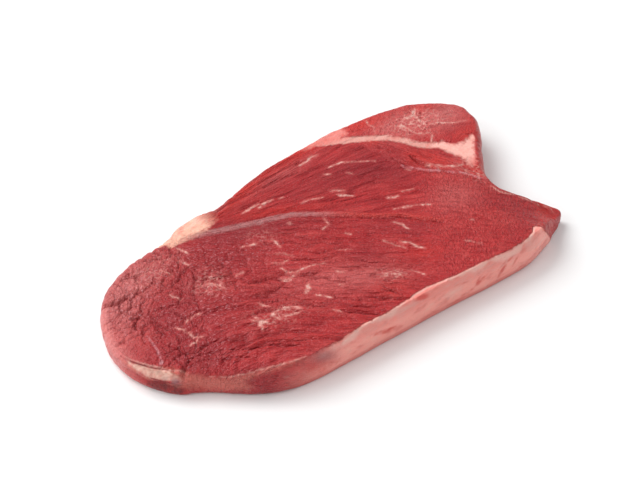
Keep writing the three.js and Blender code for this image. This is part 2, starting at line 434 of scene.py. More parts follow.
@dataclass
class Relief:
    """Fine relief as it is built up: millimetres over the broad height, and the shade painted into
    its creases.
    """

    rise: Array
    crease_shade: Array

    def sink(self, depth: Array, shade: Array) -> None:
        """Lower the face by a depth and paint at least a given shade into its creases."""
        self.rise = self.rise - depth
        self.crease_shade = np.maximum(self.crease_shade, shade)

    def cushion(self, weight: Array, wall: Array, soft: float, depth: float, shade: float) -> None:
        """Swell the cells of a honeycomb between sunk walls, depth exp(-wall / soft).

        Args:
            weight: Share of the relief at each point.
            wall: How far inside its cell each point is.
            soft: How far from a wall the cell is still low.
            depth: How deep the walls are, in millimetres.
            shade: How much shade is painted on them.
        """
        crease_shade = weight * shade * bell(1.5 * wall / soft)
        self.sink(weight * depth * np.exp(-wall / soft), crease_shade)

    def bundle(self, weight: Array, u: Array, v: Array, size: Bundles) -> None:
        """Round off bundles side by side, with creases between that come and go.

        A crease lies where v / pitch plus a slow and a quick sway is a whole number.

        Args:
            weight: Share of the relief at each point.
            u: Millimetres along the fibres.
            v: Millimetres across them.
            size: The bundles.
        """
        slow = noise(np.stack([u / size.reach, 0.45 * v / size.pitch], 1), size.seed)
        quick = noise(np.stack([2.6 * u / size.reach, v / size.pitch], 1), size.seed + 1)
        phase = v / size.pitch + 0.8 * slow + 0.32 * quick
        line = np.round(phase)
        there = noise(np.stack([1.15 * u / size.reach, 2.7 * line + 0.5], 1), size.seed + 2)
        there = weight * (0.15 + 0.85 * ramp(-0.25, 0.3, there))
        off = np.abs(phase - line)
        crease_shade = there * size.shade * bell(off * size.pitch / 0.75)
        self.sink(there * size.depth * (1 - np.sin(math.pi * off) ** 0.7), crease_shade)


@dataclass
class CutFace:
    """The cut face: its height, its muscles, its seams and the streaks in it."""

    thickness: float = 20.6
    swells: tuple[Swell, ...] = (
        Swell((-134, 8), (44, 70), 0, -8),  # thin left end
        Swell((-97, -48), (36, 18), -35, -4.5),  # sloping belly
        Swell((123, -47), (25, 17), -35, -8),  # thin tip
        Swell((123, -46), (12, 9), -35, -5),  # its end, thinner still
        Swell((-49, 66), (15, 8), 6, -7.5),  # left fat pad lies low
        Swell((57, 82), (12, 7.5), 0, -6.5),  # right fat pad lies low
        Swell((-115, 0), (8, 14), 10, 1.4),  # small muscle of the left end
        Swell((-35, -18), (50, 26), -4, 0.9),  # long main muscle
        Swell((20, 48), (46, 13), -8, 0.8),  # fanned middle muscle
        Swell((98, 50), (26, 15), -12, 0.9),  # upper lobe
        Swell((84, -12), (22, 20), 0, 0.5),  # right muscle
    )
    # lilac seam between the main and the middle muscle
    wide_seam: Seam = Seam(
        (
            (-66, 49), (-58, 48.4), (-50, 47), (-45, 45), (-40, 43.2), (-30, 40), (-20, 36.8),
            (-10, 33.8), (-5, 32), (0, 29.6), (5, 26.4), (10, 22.8), (15, 19), (20, 15.5),
            (25, 11), (30, 7), (33, 4), (40, -0.5), (44, -3), (46, -6), (50, -10), (55, -15),
            (59, -19.5),
        ),
        (1.9, 1.8, 1.65, 1.55, 1.35, 1.0, 0.8, 0.6, 0.45),
    )  # fmt: skip
    # seam of fat in front of the lobe
    fat_seam: Seam = Seam(
        (
            (45, 71), (55, 66.5), (60, 63.5), (65, 60.5), (70, 57.5), (75, 54), (80, 49.5),
            (84, 44.5), (87, 39), (91, 34.5), (96, 31),
        ),
        (3.2, 2.9, 2.5, 2.3, 2.2, 2.2, 2.6),
    )  # fmt: skip
    # fine seam in front of the wedge
    fine_seam: Seam = Seam((
        (70, 28), (71, 25.5), (74, 21.5), (77, 17.5), (80, 15), (84, 11.5), (88, 7.5),
        (92, 4), (94, 1), (96, -3), (99, -10),
    ))  # fmt: skip
    # triangle of fat where the fat seam comes out at the notch
    corner_fat: Points = (
        (95.5, 30.8), (101.4, 31.2), (103.3, 26.8), (106.7, 24.2), (112, 23.7), (118.9, 25.6),
        (118.4, 22.9), (112.4, 16.5), (107.8, 10.4), (104.2, 5.3), (101.9, 4.1), (99.5, 6.7),
        (101.5, 11.5), (100, 16.2), (97.8, 23.5), (96.1, 28.2),
    )  # fmt: skip
    # soft fat pads on the back side
    left_pad: Points = (
        (-73, 53), (-66, 49.6), (-58, 48.9), (-51, 48.2), (-45, 47.4), (-40.5, 48.8),
        (-36.5, 50.5), (-34, 56), (-31, 62), (-30, 80), (-72, 80),
    )  # fmt: skip
    right_pad: Points = (
        (28, 73), (34, 70.5), (43, 69.6), (50, 68.2), (57, 67.4), (62, 67.2), (64, 69.5),
        (66, 74), (70, 90), (30, 90),
    )  # fmt: skip
    # upper edge of the fat cap along the front
    cap_edge: Points = (
        (-80, -50), (-73, -54.5), (-65, -57), (-55, -58), (-40, -58), (-30, -57.5),
        (-20, -56.5), (-5, -57), (5, -56), (10, -55), (20, -54.5), (25, -55.5), (40, -57),
        (60, -58), (70, -58.7), (78, -58.5), (86, -57.2), (91, -55.3), (93.3, -52.9),
        (95.6, -52.6), (97.7, -54.5), (102, -55), (110, -52),
    )  # fmt: skip

    # the middle muscle's fibres fan out from here; the main one's bend round left of bend_start
    fan_root: tuple[float, float] = (-78, 53)
    fan_radius: float = 85.0
    fibre_turn: float = -36.5
    bend_start: float = -52.0
    bend: float = 0.0095
    # where the main muscle is broken up into blocks, and the smooth small muscle of the left end
    blocky: Swell = Swell((-60, 18), (24, 20), -20, 1.15)
    smooth: Swell = Swell((-119, -6), (9, 15), 12, 1.2)
    bundles: tuple[Bundles, ...] = (
        Bundles("main", "fibres", 5.2, 30, 2.0, 1.0, 31, all_over=0.4),
        Bundles("main", "fibres", 2.5, 14, 0.6, 0.65, 34, all_over=0.5),
        Bundles("middle", "fan", 4.6, 46, 0.8, 0.95, 37),
        Bundles("middle", "fan", 1.9, 22, 0.22, 0.35, 40),
        Bundles("right", -36.5, 2.6, 8, 0.3, 0.4, 43),
        Bundles("wedge", -57.0, 3.6, 18, 0.7, 0.7, 41),
        Bundles("lobe", -16.0, 4.4, 16, 0.4, 0.45, 46),
    )
    # single creases, deep pits and raised flaps of the lean, and streaks of fat in it
    creases: tuple[Stroke, ...] = (
        Stroke(1.1, ((-81, 0), (-76, -3.5), (-70, -7), (-62, -11), (-55, -15), (-47, -17),
                     (-40, -20))),
        Stroke(0.9, ((-112, -30), (-105, -30), (-98, -33), (-90, -37), (-82, -41))),
        Stroke(1.0, ((-84, -31), (-75, -37), (-66, -39), (-62, -43), (-52, -50))),
        Stroke(0.9, ((-60, -27), (-50, -34), (-42, -41), (-36, -45))),
        Stroke(0.9, ((-24, -9.5), (-20, -12), (-14, -14))),
        Stroke(0.8, ((-22, -31), (-16, -38), (-12, -42), (-6, -43), (-3, -47), (3, -50))),
        Stroke(0.8, ((-24, -42), (-20, -47), (-15, -51), (-10, -55))),
        Stroke(0.9, ((3, -41), (5, -45), (7, -51))),
        Stroke(0.9, ((-50, 1), (-42, -1), (-35, -3), (-28, -4.5))),
        Stroke(0.9, ((-68, 26), (-70, 20), (-74, 15), (-78, 8), (-80, 0))),
        Stroke(0.5, ((-58, 30), (-60, 20), (-57, 12), (-60, 4))),
        Stroke(0.9, ((-103, 30), (-96, 28), (-90, 30), (-86, 34))),
        Stroke(0.6, ((-103, 30), (-103, 36))),
        Stroke(0.6, ((-103, 30), (-105, 24))),
        Stroke(0.8, ((-103, 13), (-95, 12), (-88, 10))),
        Stroke(0.8, ((-23, 50), (-15, 50.5), (-8, 51))),
        Stroke(0.8, ((-6, 57), (4, 58.5), (14, 58.5), (22, 57))),
        Stroke(0.6, ((-2, 62), (6, 63.5), (12, 63))),
        Stroke(0.8, ((24, 64), (29, 64.5))),
        Stroke(0.7, ((70, 38), (70.5, 33), (72, 28))),
        Stroke(0.6, ((44, 30), (52, 24), (60, 18))),
        Stroke(0.7, ((110, 60), (106, 56), (104, 52))),
        Stroke(0.6, ((96, 34), (103, 31.5), (107, 27))),
        Stroke(0.6, ((-77, -37), (-68, -39), (-57, -44))),
        Stroke(0.6, ((-58, 1.6), (-48, -4.3), (-41, -10.8))),
        Stroke(0.7, ((-64, -2.2), (-54, -7.5), (-42, -10.8), (-32, -9.2))),
        Stroke(0.6, ((-28, -14), (-17, -17.8), (-9, -25))),
        Stroke(0.6, ((-9, -21.7), (0, -21.8), (8, -26))),
        Stroke(0.6, ((-38, -24.5), (-31, -33.4), (-26.6, -37.6))),
        Stroke(0.6, ((-58, 15), (-56, 20), (-59, 25))),
        Stroke(0.6, ((-31.5, -4.5), (-27.8, -10), (-21.5, -11.9), (-16.4, -12.9))),
        Stroke(0.6, ((-111.8, 15.6), (-111.6, 10.8), (-114.2, 7.4))),
        Stroke(0.45, ((-130, 4.7), (-121.1, 2.7), (-111.7, 3.2), (-106.9, 4.3))),
        Stroke(0.6, ((-99.6, -8.7), (-91.4, -8.8), (-86.5, -7.7), (-81, -5.7))),
        Stroke(0.6, ((-103.2, -25.5), (-96.4, -26.1), (-90.9, -28.6), (-84.7, -30.3))),
        Stroke(0.7, ((-99.9, -22), (-91.8, -22.1), (-83.8, -22.7), (-77.2, -25.3))),
        Stroke(0.6, ((-102.3, -31.9), (-93.5, -34.1), (-85.3, -37.2), (-78, -41.9))),
        Stroke(0.6, ((-86.9, -24.2), (-79.6, -25.8), (-74, -29.9), (-72.6, -34))),
        Stroke(0.55, ((-92.1, 7.3), (-90.2, -0.4), (-94.9, -4.6), (-101.1, -4.6))),
        Stroke(0.6, ((-103.3, 10.1), (-102.1, 3.8), (-103.9, -2.5), (-108.6, -6.6))),
        Stroke(0.6, ((-107.2, -26.9), (-102.5, -26), (-101.7, -29.5))),
        Stroke(0.45, ((-109.9, -8.7), (-109.6, -16.3), (-108.6, -22.9), (-109, -29.9))),
        Stroke(0.7, ((-110.4, -28.4), (-107, -31.4), (-102, -33.6), (-95, -36.6), (-89, -40))),
    )  # fmt: skip
    pits: tuple[Stroke, ...] = (
        Stroke(1.7, ((79.5, 32), (80.6, 26.5), (82, 21), (83, 16.5))),
        Stroke(1.3, ((-115, 29.5), (-110, 28.5), (-104, 30))),
        Stroke(1.1, ((-112, 15), (-109, 13.5), (-105, 13))),
        Stroke(0.9, ((-112.5, 11), (-113.5, 7))),
    )
    flaps: tuple[Stroke, ...] = (
        Stroke(0.9, ((82, 24), (84.5, 19), (84, 14))),
        Stroke(0.9, ((88, 17), (91, 12), (95, 10), (99, 9))),
        Stroke(1.0, ((-113.8, -5), (-114.8, -9.9), (-115.6, -13.8), (-116.6, -16.8))),
    )
    marbling: tuple[Stroke, ...] = (
        Stroke(0.5, ((-81.1, 36.5), (-80, 33.5), (-77.9, 31.3))),
        Stroke(0.6, ((-69.8, 36.7), (-68.2, 33.5), (-67.3, 30.5))),
        Stroke(0.6, ((-65.5, 45.5), (-63.5, 41), (-62.6, 37.5))),
        Stroke(0.55, ((-86.9, 18.4), (-85.4, 15.2), (-83.2, 11.5))),
        Stroke(0.6, ((-70, 14.9), (-65.3, 12.1), (-62.5, 9.3), (-61.6, 5.2))),
        Stroke(0.7, ((-52.2, 9.4), (-49.5, 10.2), (-47.5, 9.4))),
        Stroke(0.5, ((-37.3, 25.8), (-32.8, 23.9), (-29.5, 23))),
        Stroke(0.8, ((-22, 21.1), (-21.1, 18.3), (-21.6, 13.4))),
        Stroke(0.35, ((-26.6, 10.5), (-23.1, 8.7), (-20.6, 3.9))),
        Stroke(0.35, ((-31.6, 6.2), (-28.7, 3.4), (-24.2, 3))),
        Stroke(0.7, ((-30.7, 0.6), (-29.3, -4), (-26.4, -6.8), (-21.3, -6.4), (-14.5, -7.8))),
        Stroke(0.4, ((-14.5, -7.8), (-12, -9), (-10.1, -9.7))),
        Stroke(0.9, ((-35, -5.4), (-33.2, -8.2), (-30.3, -8.2), (-27.1, -6.4))),
        Stroke(1.3, ((-31.5, -21.7), (-28.1, -19.7), (-26.2, -16.9))),
        Stroke(0.5, ((-27.7, -25.7), (-24.7, -29.2), (-22.4, -32))),
        Stroke(0.6, ((-9.5, -18), (-8, -19.5), (-6.5, -21))),
        Stroke(0.45, ((-14, -26.6), (-13, -27.4), (-12.1, -28))),
        Stroke(0.8, ((-54, -24.3), (-49.4, -23), (-45.1, -23.5), (-40.8, -26.7), (-39, -29.4))),
        Stroke(0.6, ((-39, -29.4), (-42.7, -30.6), (-47.3, -29.2), (-50.3, -25.7))),
        Stroke(0.6, ((-54.2, -23.5), (-53.1, -25.8), (-52.1, -29))),
        Stroke(1.0, ((-61.3, -20.5), (-60.6, -24.2), (-62, -27), (-63.2, -29.6))),
        Stroke(0.6, ((-60.6, -24.2), (-59.2, -25.8), (-57.6, -28.2))),
        Stroke(0.6, ((-63.5, -22), (-61.5, -23), (-60.6, -24.2))),
        Stroke(0.8, ((-54.1, -13.3), (-52.7, -16), (-51.6, -18.3))),
        Stroke(0.35, ((-27.4, -39.4), (-26, -41), (-24.6, -43.1))),
        Stroke(0.5, ((-97.5, -3), (-95.2, -6), (-94.2, -9.9), (-93, -13.4), (-91.2, -16))),
        Stroke(0.6, ((-98, -18), (-93, -17), (-91, -15.5), (-89.5, -17))),
        Stroke(0.4, ((-90.9, -3.4), (-86.3, -1.6), (-81.5, -2.5))),
        Stroke(0.7, ((12.2, 2.5), (14, 0))),
        Stroke(0.5, ((10, 19), (9, 13), (4, 11.5))),
        Stroke(0.9, ((-7.5, 26.5), (-6.5, 25))),
        Stroke(0.45, ((1, -5.5), (7, -9.5))),
        Stroke(0.45, ((24, -14), (27, -19.5), (30, -25))),
        Stroke(0.8, ((30.5, -20.1), (34.2, -23.6), (35.4, -27.7), (37.6, -31.7))),
        Stroke(0.9, ((37.5, -5), (39.8, -9.5), (40.4, -15.5))),
        Stroke(0.5, ((9, -34.1), (10.6, -34.8), (12.2, -36))),
        Stroke(0.7, ((12.4, -36.5), (14, -38), (15.9, -40.1))),
        Stroke(0.4, ((22.3, -39.9), (23.8, -43.4), (25.1, -46.8))),
        Stroke(0.5, ((58.4, -39.1), (60.8, -41.7), (61.6, -43.4))),
        Stroke(0.4, ((62.3, -45.2), (64.1, -45.8))),
        Stroke(0.5, ((70.8, -28.7), (72.7, -29.2))),
        Stroke(0.9, ((-23, 47), (-17, 48), (-11, 48.5))),
        Stroke(1.0, ((-13, 45.5), (-8, 47), (-3, 47))),
        Stroke(0.5, ((0, 45.5), (3, 45.5))),
        Stroke(0.5, ((7, 36), (12.4, 35.1), (19.5, 32.2))),
        Stroke(0.7, ((25.9, 33.8), (29, 32.2), (32.2, 29.7))),
        Stroke(0.8, ((26.7, 29.3), (30, 27), (33.6, 23.4))),
        Stroke(0.8, ((37.1, 50.8), (41, 50.6), (45.2, 49.8))),
        Stroke(0.5, ((45.2, 49.8), (51.5, 46.8), (61.2, 40))),
        Stroke(0.7, ((31.4, 46.8), (34.5, 45.3))),
        Stroke(0.5, ((42.1, 41.4), (44.4, 38.8))),
        Stroke(1.0, ((25, 61.5), (30, 62), (35, 64), (39, 63.3))),
        Stroke(0.9, ((46.7, 12.1), (50.5, 10.1), (53.2, 9.6))),
        Stroke(0.5, ((56.6, 11.2), (60, 10.4), (63.5, 9.2))),
        Stroke(0.5, ((44.1, 2.2), (51.6, -0.2), (56.7, -3.1))),
        Stroke(0.7, ((56.7, -3.1), (59.5, -4.4), (62.3, -6.6))),
        Stroke(0.35, ((48.1, -0.2), (52.9, -2))),
        Stroke(0.7, ((70, 24.4), (72, 22.5))),
        Stroke(0.5, ((79.6, 71.9), (78.1, 68.5), (79.1, 64.2), (76.5, 60))),
        Stroke(1.5, ((108.6, 63.9), (106, 61.5), (104.2, 59.9), (99.2, 60), (95.8, 59.9))),
        Stroke(1.5, ((104.1, 59.5), (104.2, 53.7), (103.6, 49.3))),
        Stroke(0.7, ((89.6, 56.4), (92.6, 56), (94.1, 49.6), (95.2, 45.3), (101.4, 40.7))),
        Stroke(0.5, ((106.2, 47.8), (111.3, 45.7), (118.3, 40.5), (125.4, 38))),
        Stroke(0.6, ((102.1, 40.2), (99, 37), (96.4, 34))),
        Stroke(0.7, ((85.3, 18.5), (88.1, 13.9), (92.8, 10.4), (97.8, 8.4))),
        Stroke(0.6, ((82.5, 22.5), (85, 17.5), (84.5, 12.5))),
        Stroke(0.5, ((98.3, -13.9), (98.7, -20.4), (101.2, -23.8), (103.8, -26.8))),
        Stroke(0.4, ((104.8, -30.5), (107.9, -36.3), (109.8, -41.7))),
        Stroke(0.6, ((111.5, -44.1), (113.6, -47.8), (112.1, -52.4))),
    )  # fmt: skip
    # where the lean shifts its look
    patches: dict[Tint, tuple[Swell, ...]] = field(
        default_factory=lambda: {
            Tint.DEEP: (
                Swell((-18, 30), (34, 7), -22, 0.8),
                Swell((-40, 37), (18, 8), -15, 0.8),
                Swell((-92, 6), (15, 15), 0, 0.75),
                Swell((-76, 18), (9, 14), -20, 0.5),
                Swell((-103, -12), (10, 10), 0, 0.5),
                Swell((54, 36), (22, 11), -22, 0.95),
                Swell((64, 22), (12, 8), -20, 0.6),
                Swell((20, 40), (20, 6), -15, 0.4),
                Swell((12, -18), (14, 9), -30, 0.4),
                Swell((42, -12), (16, 8), -40, 0.5),
                Swell((98, -24), (10, 18), 0, 0.5),
                Swell((100, -45), (16, 8), 0, 0.3),
                Swell((-81, -54), (12, 8), -35, 0.8),
                Swell((-94, -24), (17, 11), -30, 0.65),
                Swell((-52, 22), (26, 13), -25, 0.5),
                Swell((-70, -10), (20, 18), -20, 0.35),
                Swell((30, 45), (36, 14), -22, 0.45),
                Swell((-116, -6), (7, 9), 10, 0.35),
            ),
            # paler lean; round the left end and on its rim, a painted highlight where the end is
            # lit brightest
            Tint.PALE: (
                Swell((-99, 40), (22, 13), 20, 0.8),
                Swell((-110, 28), (12, 14), 0, 0.7),
                Swell((-117, 14), (8, 12), 0, 0.4),
                Swell((-127, 12), (5, 18), 0, 0.8),
                Swell((-128, 2), (6, 24), -6, 1.0),
                Swell((95, 56), (24, 13), -8, 0.45),
                Swell((118, 50), (14, 12), 0, 0.5),
                Swell((-18, -22), (24, 12), -30, 0.35),
                Swell((2, -32), (18, 9), -30, 0.35),
                Swell((76, -10), (14, 12), 0, 0.35),
                Swell((10, 60), (26, 5), 8, 0.3),
            ),
            # oranger lean, and the painted glow of edges lit from behind on the back side and the
            # walls
            Tint.WARM_AND_GLOW: (
                Swell((-15, 61), (30, 5), 18, 0.8),
                Swell((30, 70), (20, 4), 4, 0.8),
                Swell((-112.5, -24), (3.5, 3.5), 0, 0.9),
                Swell((88, 19), (7, 5), -40, 0.7),
                Swell((-8, 37), (22, 3.5), -24, 0.6),
                Swell((70, 54), (5, 4), -30, 0.8),
                Swell((82, 28), (9, 10), -30, 0.55),
                Swell((113, 61), (10, 5), -20, 0.6),
                Swell((70, 73), (7, 5), 0, 0.6),
                Swell((116, 29), (9, 5), 20, 0.5),
                Swell((103, 0), (6, 9), 0, 0.8),
                Swell((5, -45), (10, 6), -30, 0.4),
                Swell((35, -33), (10, 6), -30, 0.4),
                Swell((50, -12), (12, 2.5), -44, 0.6),
                Swell((110, -51), (9, 5), 20, 0.7),
                Swell((119, 14), (28, 4), 54, 0.95),
                Swell((117, -37), (15, 4), 42, 0.8),
                Swell((78, 70), (14, 6), -5, 0.7),
            ),
            Tint.MILKY: (
                Swell((96, 53), (13, 9), -20, 1.0),
                Swell((112, 52), (12, 8), -20, 0.5),
                Swell((-83, 38), (16, 8), 10, 0.4),
                Swell((-66, 14), (8, 8), 0, 0.8),
                Swell((-52, -27), (14, 6), -20, 0.6),
                Swell((-24, 26), (9, 7), 0, 0.3),
                Swell((12, -37), (7, 4), -30, 0.9),
                Swell((100, 2), (7, 12), 0, 0.8),
                Swell((98, -57), (5, 5), 0, 0.7),
            ),
            # where glints are painted on the lean
            Tint.GLINT: (
                Swell((-94, 36), (28, 15), 18, 0.9),
                Swell((-109, 25), (14, 17), 0, 1.0),
                Swell((-48, 27), (24, 12), -25, 0.9),
                Swell((-70, 2), (14, 26), -25, 0.8),
                Swell((-97, 4), (18, 16), 0, 0.6),
                Swell((-92, -26), (20, 10), -30, 0.6),
                Swell((-20, 10), (26, 20), -30, 0.35),
            ),
        }
    )
    # tendon beside the small muscle of the left end
    tendon: Points = (
        (-112, -0.6), (-111.9, -4.2), (-112.8, -10.5), (-113.5, -13.5), (-114.5, -16.6),
        (-115.9, -19.5), (-118.6, -22.6),
    )  # fmt: skip
    # zones of the rim round the left end, noted on the plane at LEVEL like all that follows
    bands: dict[str, Points] = field(
        default_factory=lambda: {
            "skin": (
                (-129.4, -7.5), (-127.2, -12.4), (-123, -16.9), (-117.7, -22.9), (-115.5, -27.3),
                (-114.7, -32.1), (-116.3, -35.9), (-119.3, -33.4), (-121.9, -31.2), (-125.1, -28.3),
                (-127.4, -25.6), (-128.4, -21.6), (-129.3, -16.6), (-130.1, -11.6),
            ),
            "film": (
                (-117.2, -22.8), (-112.6, -27.5), (-108.4, -35.2), (-103.2, -41.1), (-96, -47.1),
                (-88.7, -49.8), (-79.8, -51.9), (-68.6, -55.2), (-57.4, -57.3), (-58.7, -59.1),
                (-69.5, -58), (-80.1, -55.3), (-87.6, -54.3), (-91.5, -55.7), (-90.4, -60.5),
                (-95.1, -60.7), (-105, -53.4), (-111.8, -47.6), (-117.4, -42.9), (-120.6, -37.7),
                (-116.7, -35.6), (-118.3, -30.2), (-118.8, -26.2),
            ),
            # the hollow under the skin, darkened by painted shade
            "hollow": (
                (-128.5, -25.8), (-125.3, -28.7), (-122.4, -32), (-120.3, -35), (-118.6, -37),
                (-117.6, -39.2), (-119.3, -44.2), (-124, -43.6), (-129, -38), (-132, -32.6),
                (-132, -28.7),
            ),
            # the pale rim of the left end, with a painted highlight on it
            "pale_rim_and_highlight": (
                (-103.7, 47), (-111.7, 42), (-121, 33), (-128, 21.6), (-131, 11.3), (-133, 4.5),
                (-134, -3.4), (-130.3, -4.2), (-128.3, 2.1), (-126.1, 9.3), (-123.3, 17.4),
                (-118.3, 26.2), (-113.3, 31.9), (-107.8, 37.7), (-103.2, 42.6),
            ),
        }
    )  # fmt: skip
    # painted shadow in the gaps under the folds, pale threads and flaps of skin on the rim
    rim_lines: dict[str, tuple[Stroke, ...]] = field(
        default_factory=lambda: {
            "gap_shadow": (
                Stroke(0.5, ((-130.6, -3.9), (-129.2, -8.1), (-127.1, -12.2), (-124.6, -15.8),
                             (-121.5, -20.3), (-118.9, -23.3), (-116.1, -26))),
                Stroke(0.6, ((-126.7, -25.5), (-124.4, -29.5), (-122.3, -32.8), (-119.5, -36))),
                Stroke(0.35, ((-95.5, -49), (-94, -55), (-88.5, -61), (-80.5, -62.8), (-74, -59))),
            ),
            "thread": (
                Stroke(0.45, ((-128.9, -6.2), (-127.1, -9.7), (-124.4, -14), (-121.4, -18.6),
                              (-118.9, -21.2))),
                Stroke(0.35, ((-118, -25.2), (-115.2, -27.2), (-111.5, -29.8), (-110.6, -34.6))),
                Stroke(0.35, ((-57.4, -57.3), (-68.6, -55.2), (-79.8, -51.9), (-88.7, -49.8),
                              (-96, -47.1), (-103.2, -41.1))),
                Stroke(0.5, ((-120.4, -28.5), (-118.5, -29.6), (-116.4, -29.4))),
            ),
            "flap": (
                Stroke(0.7, ((-130.8, -5.1), (-131, -11.6), (-130.4, -17.9), (-129.4, -23.6),
                             (-126.9, -28.1))),
                Stroke(0.6, ((-122.9, -32.8), (-120.6, -37), (-116.6, -41.6))),
            ),
        }
    )  # fmt: skip
    # blood stains, pale patches of painted highlight, and painted purple-grey shade on the fat cap
    # and the skin
    rim_patches: dict[str, tuple[Swell, ...]] = field(
        default_factory=lambda: {
            "blood": (
                Swell((69, -64.2), (5.5, 0.9), 24, 0.8),
                Swell((60.2, -69.2), (6, 1.1), 32, 0.9),
                Swell((62, -66), (7, 0.7), 24, 0.6),
                Swell((44, -69.2), (9, 0.9), 20, 0.9),
                Swell((46, -66.5), (4, 0.8), 27, 0.6),
                Swell((37, -64.2), (6, 1.2), -12, 0.5),
                Swell((70.4, -67.4), (7, 0.8), 34, 0.6),
                Swell((13.5, -59.2), (4.6, 2.3), -8, 0.95),
                Swell((20, -66), (6, 1.2), 15, 0.5),
                Swell((-15.5, -68.2), (10, 1.6), -15, 0.85),
                Swell((-34, -62.5), (2.5, 3.8), 20, 0.45),
                Swell((-57, -64), (13, 9), -10, 0.75),
                Swell((99, -58.8), (3, 2.2), 0, 0.9),
            ),
            # painted highlights on the fat cap
            "white": (
                Swell((-1, -60.2), (11, 1.8), -3, 0.8),
                Swell((29, -66.5), (8, 2.6), 10, 0.6),
                Swell((84, -61.8), (7, 4), 30, 0.6),
                Swell((52, -62.5), (10, 1.6), 5, 0.5),
                Swell((-26, -60.8), (7, 1.6), -8, 0.45),
            ),
            # painted purple-grey shade on the cap and by the skin
            "grey": (
                Swell((-50.5, -63.5), (7, 4.5), -20, 0.6),
                Swell((-118.2, -34.6), (2.3, 2.6), -40, 0.85),
                Swell((-121, -30.2), (1.8, 1.8), 0, 0.4),
            ),
        }
    )

    def height(self, x: Array, y: Array) -> Array:
        """Height of the cut face without its fine relief: the thickness and all its swells."""
        return self.thickness + sum(swell.over(x, y) for swell in self.swells)

    def settle(self, path: Points) -> Array:
        """Move points noted on the plane at LEVEL down the line of sight to the cut face.

        Where the face lies lower than LEVEL by h, the point lies h times SIGHT further on.

        Args:
            path: Points as noted.

        Returns:
            Their plan positions.
        """
        noted = np.array(path, dtype=float)
        plan = noted.copy()
        for _ in range(4):
            drop = LEVEL - self.height(plan[:, 0], plan[:, 1])
            plan = noted + drop[:, None] * np.array(SIGHT)
        return plan

    def muscles(self, x: Array, y: Array) -> dict[str, Array]:
        """Share of each muscle at each point, from the sides of the seams it lies on.

        Args:
            x: Plan positions.
            y: Plan positions.

        Returns:
            Shares from 0 to 1 that add up to 1, by the muscle's name.
        """
        behind = ramp(-0.8, 0.8, beside(x, y, self.settle(self.wide_seam.path)).side)
        over_fat = ((36, 80), *self.fat_seam.path, (102, 30), (106, 25), (122, 25), (134, 30))
        lobe = ramp(-0.8, 0.8, beside(x, y, over_fat).side) * ramp(38, 46, x)
        over_fine = ((62, 66), (64, 52), (67, 38), *self.fine_seam.path)
        wedge = ramp(-0.9, 0.9, beside(x, y, over_fine).side) * ramp(60, 68, x) * (1 - lobe)
        rest = 1 - lobe - wedge
        right = ramp(54, 74, x - 0.6 * y)
        end = ramp(-77, -82, x - 0.37 * y)
        return {
            "lobe": lobe,
            "wedge": wedge,
            "right": rest * right,
            "middle": rest * (1 - right) * behind * (1 - end),
            "end": rest * (1 - right) * end,
            "main": rest * (1 - right) * (1 - behind) * (1 - end),
        }

    def fan(self, x: Array, y: Array) -> tuple[Array, Array]:
        """Fibre coordinates of the middle muscle, which fan out from a point at its left end.

        Args:
            x: Plan positions.
            y: Plan positions.

        Returns:
            Millimetres along the fibres, and across them as they lie halfway out.
        """
        dx, dy = x - self.fan_root[0], y - self.fan_root[1]
        return np.hypot(dx, dy), np.arctan2(dy, dx) * self.fan_radius

    def fibres(self, x: Array, y: Array) -> tuple[Array, Array]:
        """Fibre coordinates of the main muscle, whose fibres bend round at its left end.

        Across them, v = -x sin t + y cos t + bend (start - x)^2 where x is under start.

        Args:
            x: Plan positions.
            y: Plan positions.

        Returns:
            Millimetres along the fibres and across them.
        """
        turn = math.radians(self.fibre_turn)
        bend = self.bend * np.clip(self.bend_start - x, 0, 50) ** 2
        along = x * math.cos(turn) + y * math.sin(turn)
        return along, -x * math.sin(turn) + y * math.cos(turn) + bend

    def relief(self, x: Array, y: Array) -> Relief:
        """Fine relief of the cut face and the shade painted into its creases.

        Args:
            x: Plan positions.
            y: Plan positions.

        Returns:
            Millimetres over the broad height, and painted crease shade from 0 to 1.
        """
        relief = Relief(np.zeros(x.shape), np.zeros(x.shape))
        self.shape_muscles(relief, x, y)
        self.shape_lines(relief, x, y)
        self.shape_seams(relief, x, y)
        relief.crease_shade = np.clip(relief.crease_shade, 0, 1)
        return relief

    def shape_muscles(self, relief: Relief, x: Array, y: Array) -> None:
        """Add each muscle's bundles or cells, on positions that noise bends a little.

        Bundles of fibres lie side by side with creases between. Where they end at the cut
        face, their ends are the cells of a honeycomb with sunk walls.

        Args:
            relief: The relief to add to.
            x: Plan positions.
            y: Plan positions.
        """
        share = self.muscles(x, y)
        plan = np.stack([x, y], 1)
        sway = 2.2 * np.stack([noise(plan / 21, 5), noise(plan / 21, 6)], 1)
        sway += 1.1 * np.stack([noise(plan / 7, 7), noise(plan / 7, 8)], 1)
        bent = plan + sway

        def turned(degrees: float, long: float = 1.0, wide: float = 1.0) -> Array:
            """Bent positions along and across a direction, in units of long and wide."""
            c, s = math.cos(math.radians(degrees)), math.sin(math.radians(degrees))
            u, v = bent[:, 0] * c + bent[:, 1] * s, -bent[:, 0] * s + bent[:, 1] * c
            return np.stack([u / long, v / wide], 1)

        front = ramp(35, -20, x) * ramp(32, 4, y)
        blocky = np.clip(self.blocky.over(x, y), 0, 1)
        corded = {**share, "main": share["main"] * (1 - 0.65 * blocky)}
        named = {"fibres": self.fibres(*bent.T), "fan": self.fan(*bent.T)}
        for size in self.bundles:
            u, v = named[size.along] if size.along in named else turned(size.along).T
            weight = corded[size.muscle] * (size.all_over + (1 - size.all_over) * front)
            relief.bundle(weight, u, v, size)

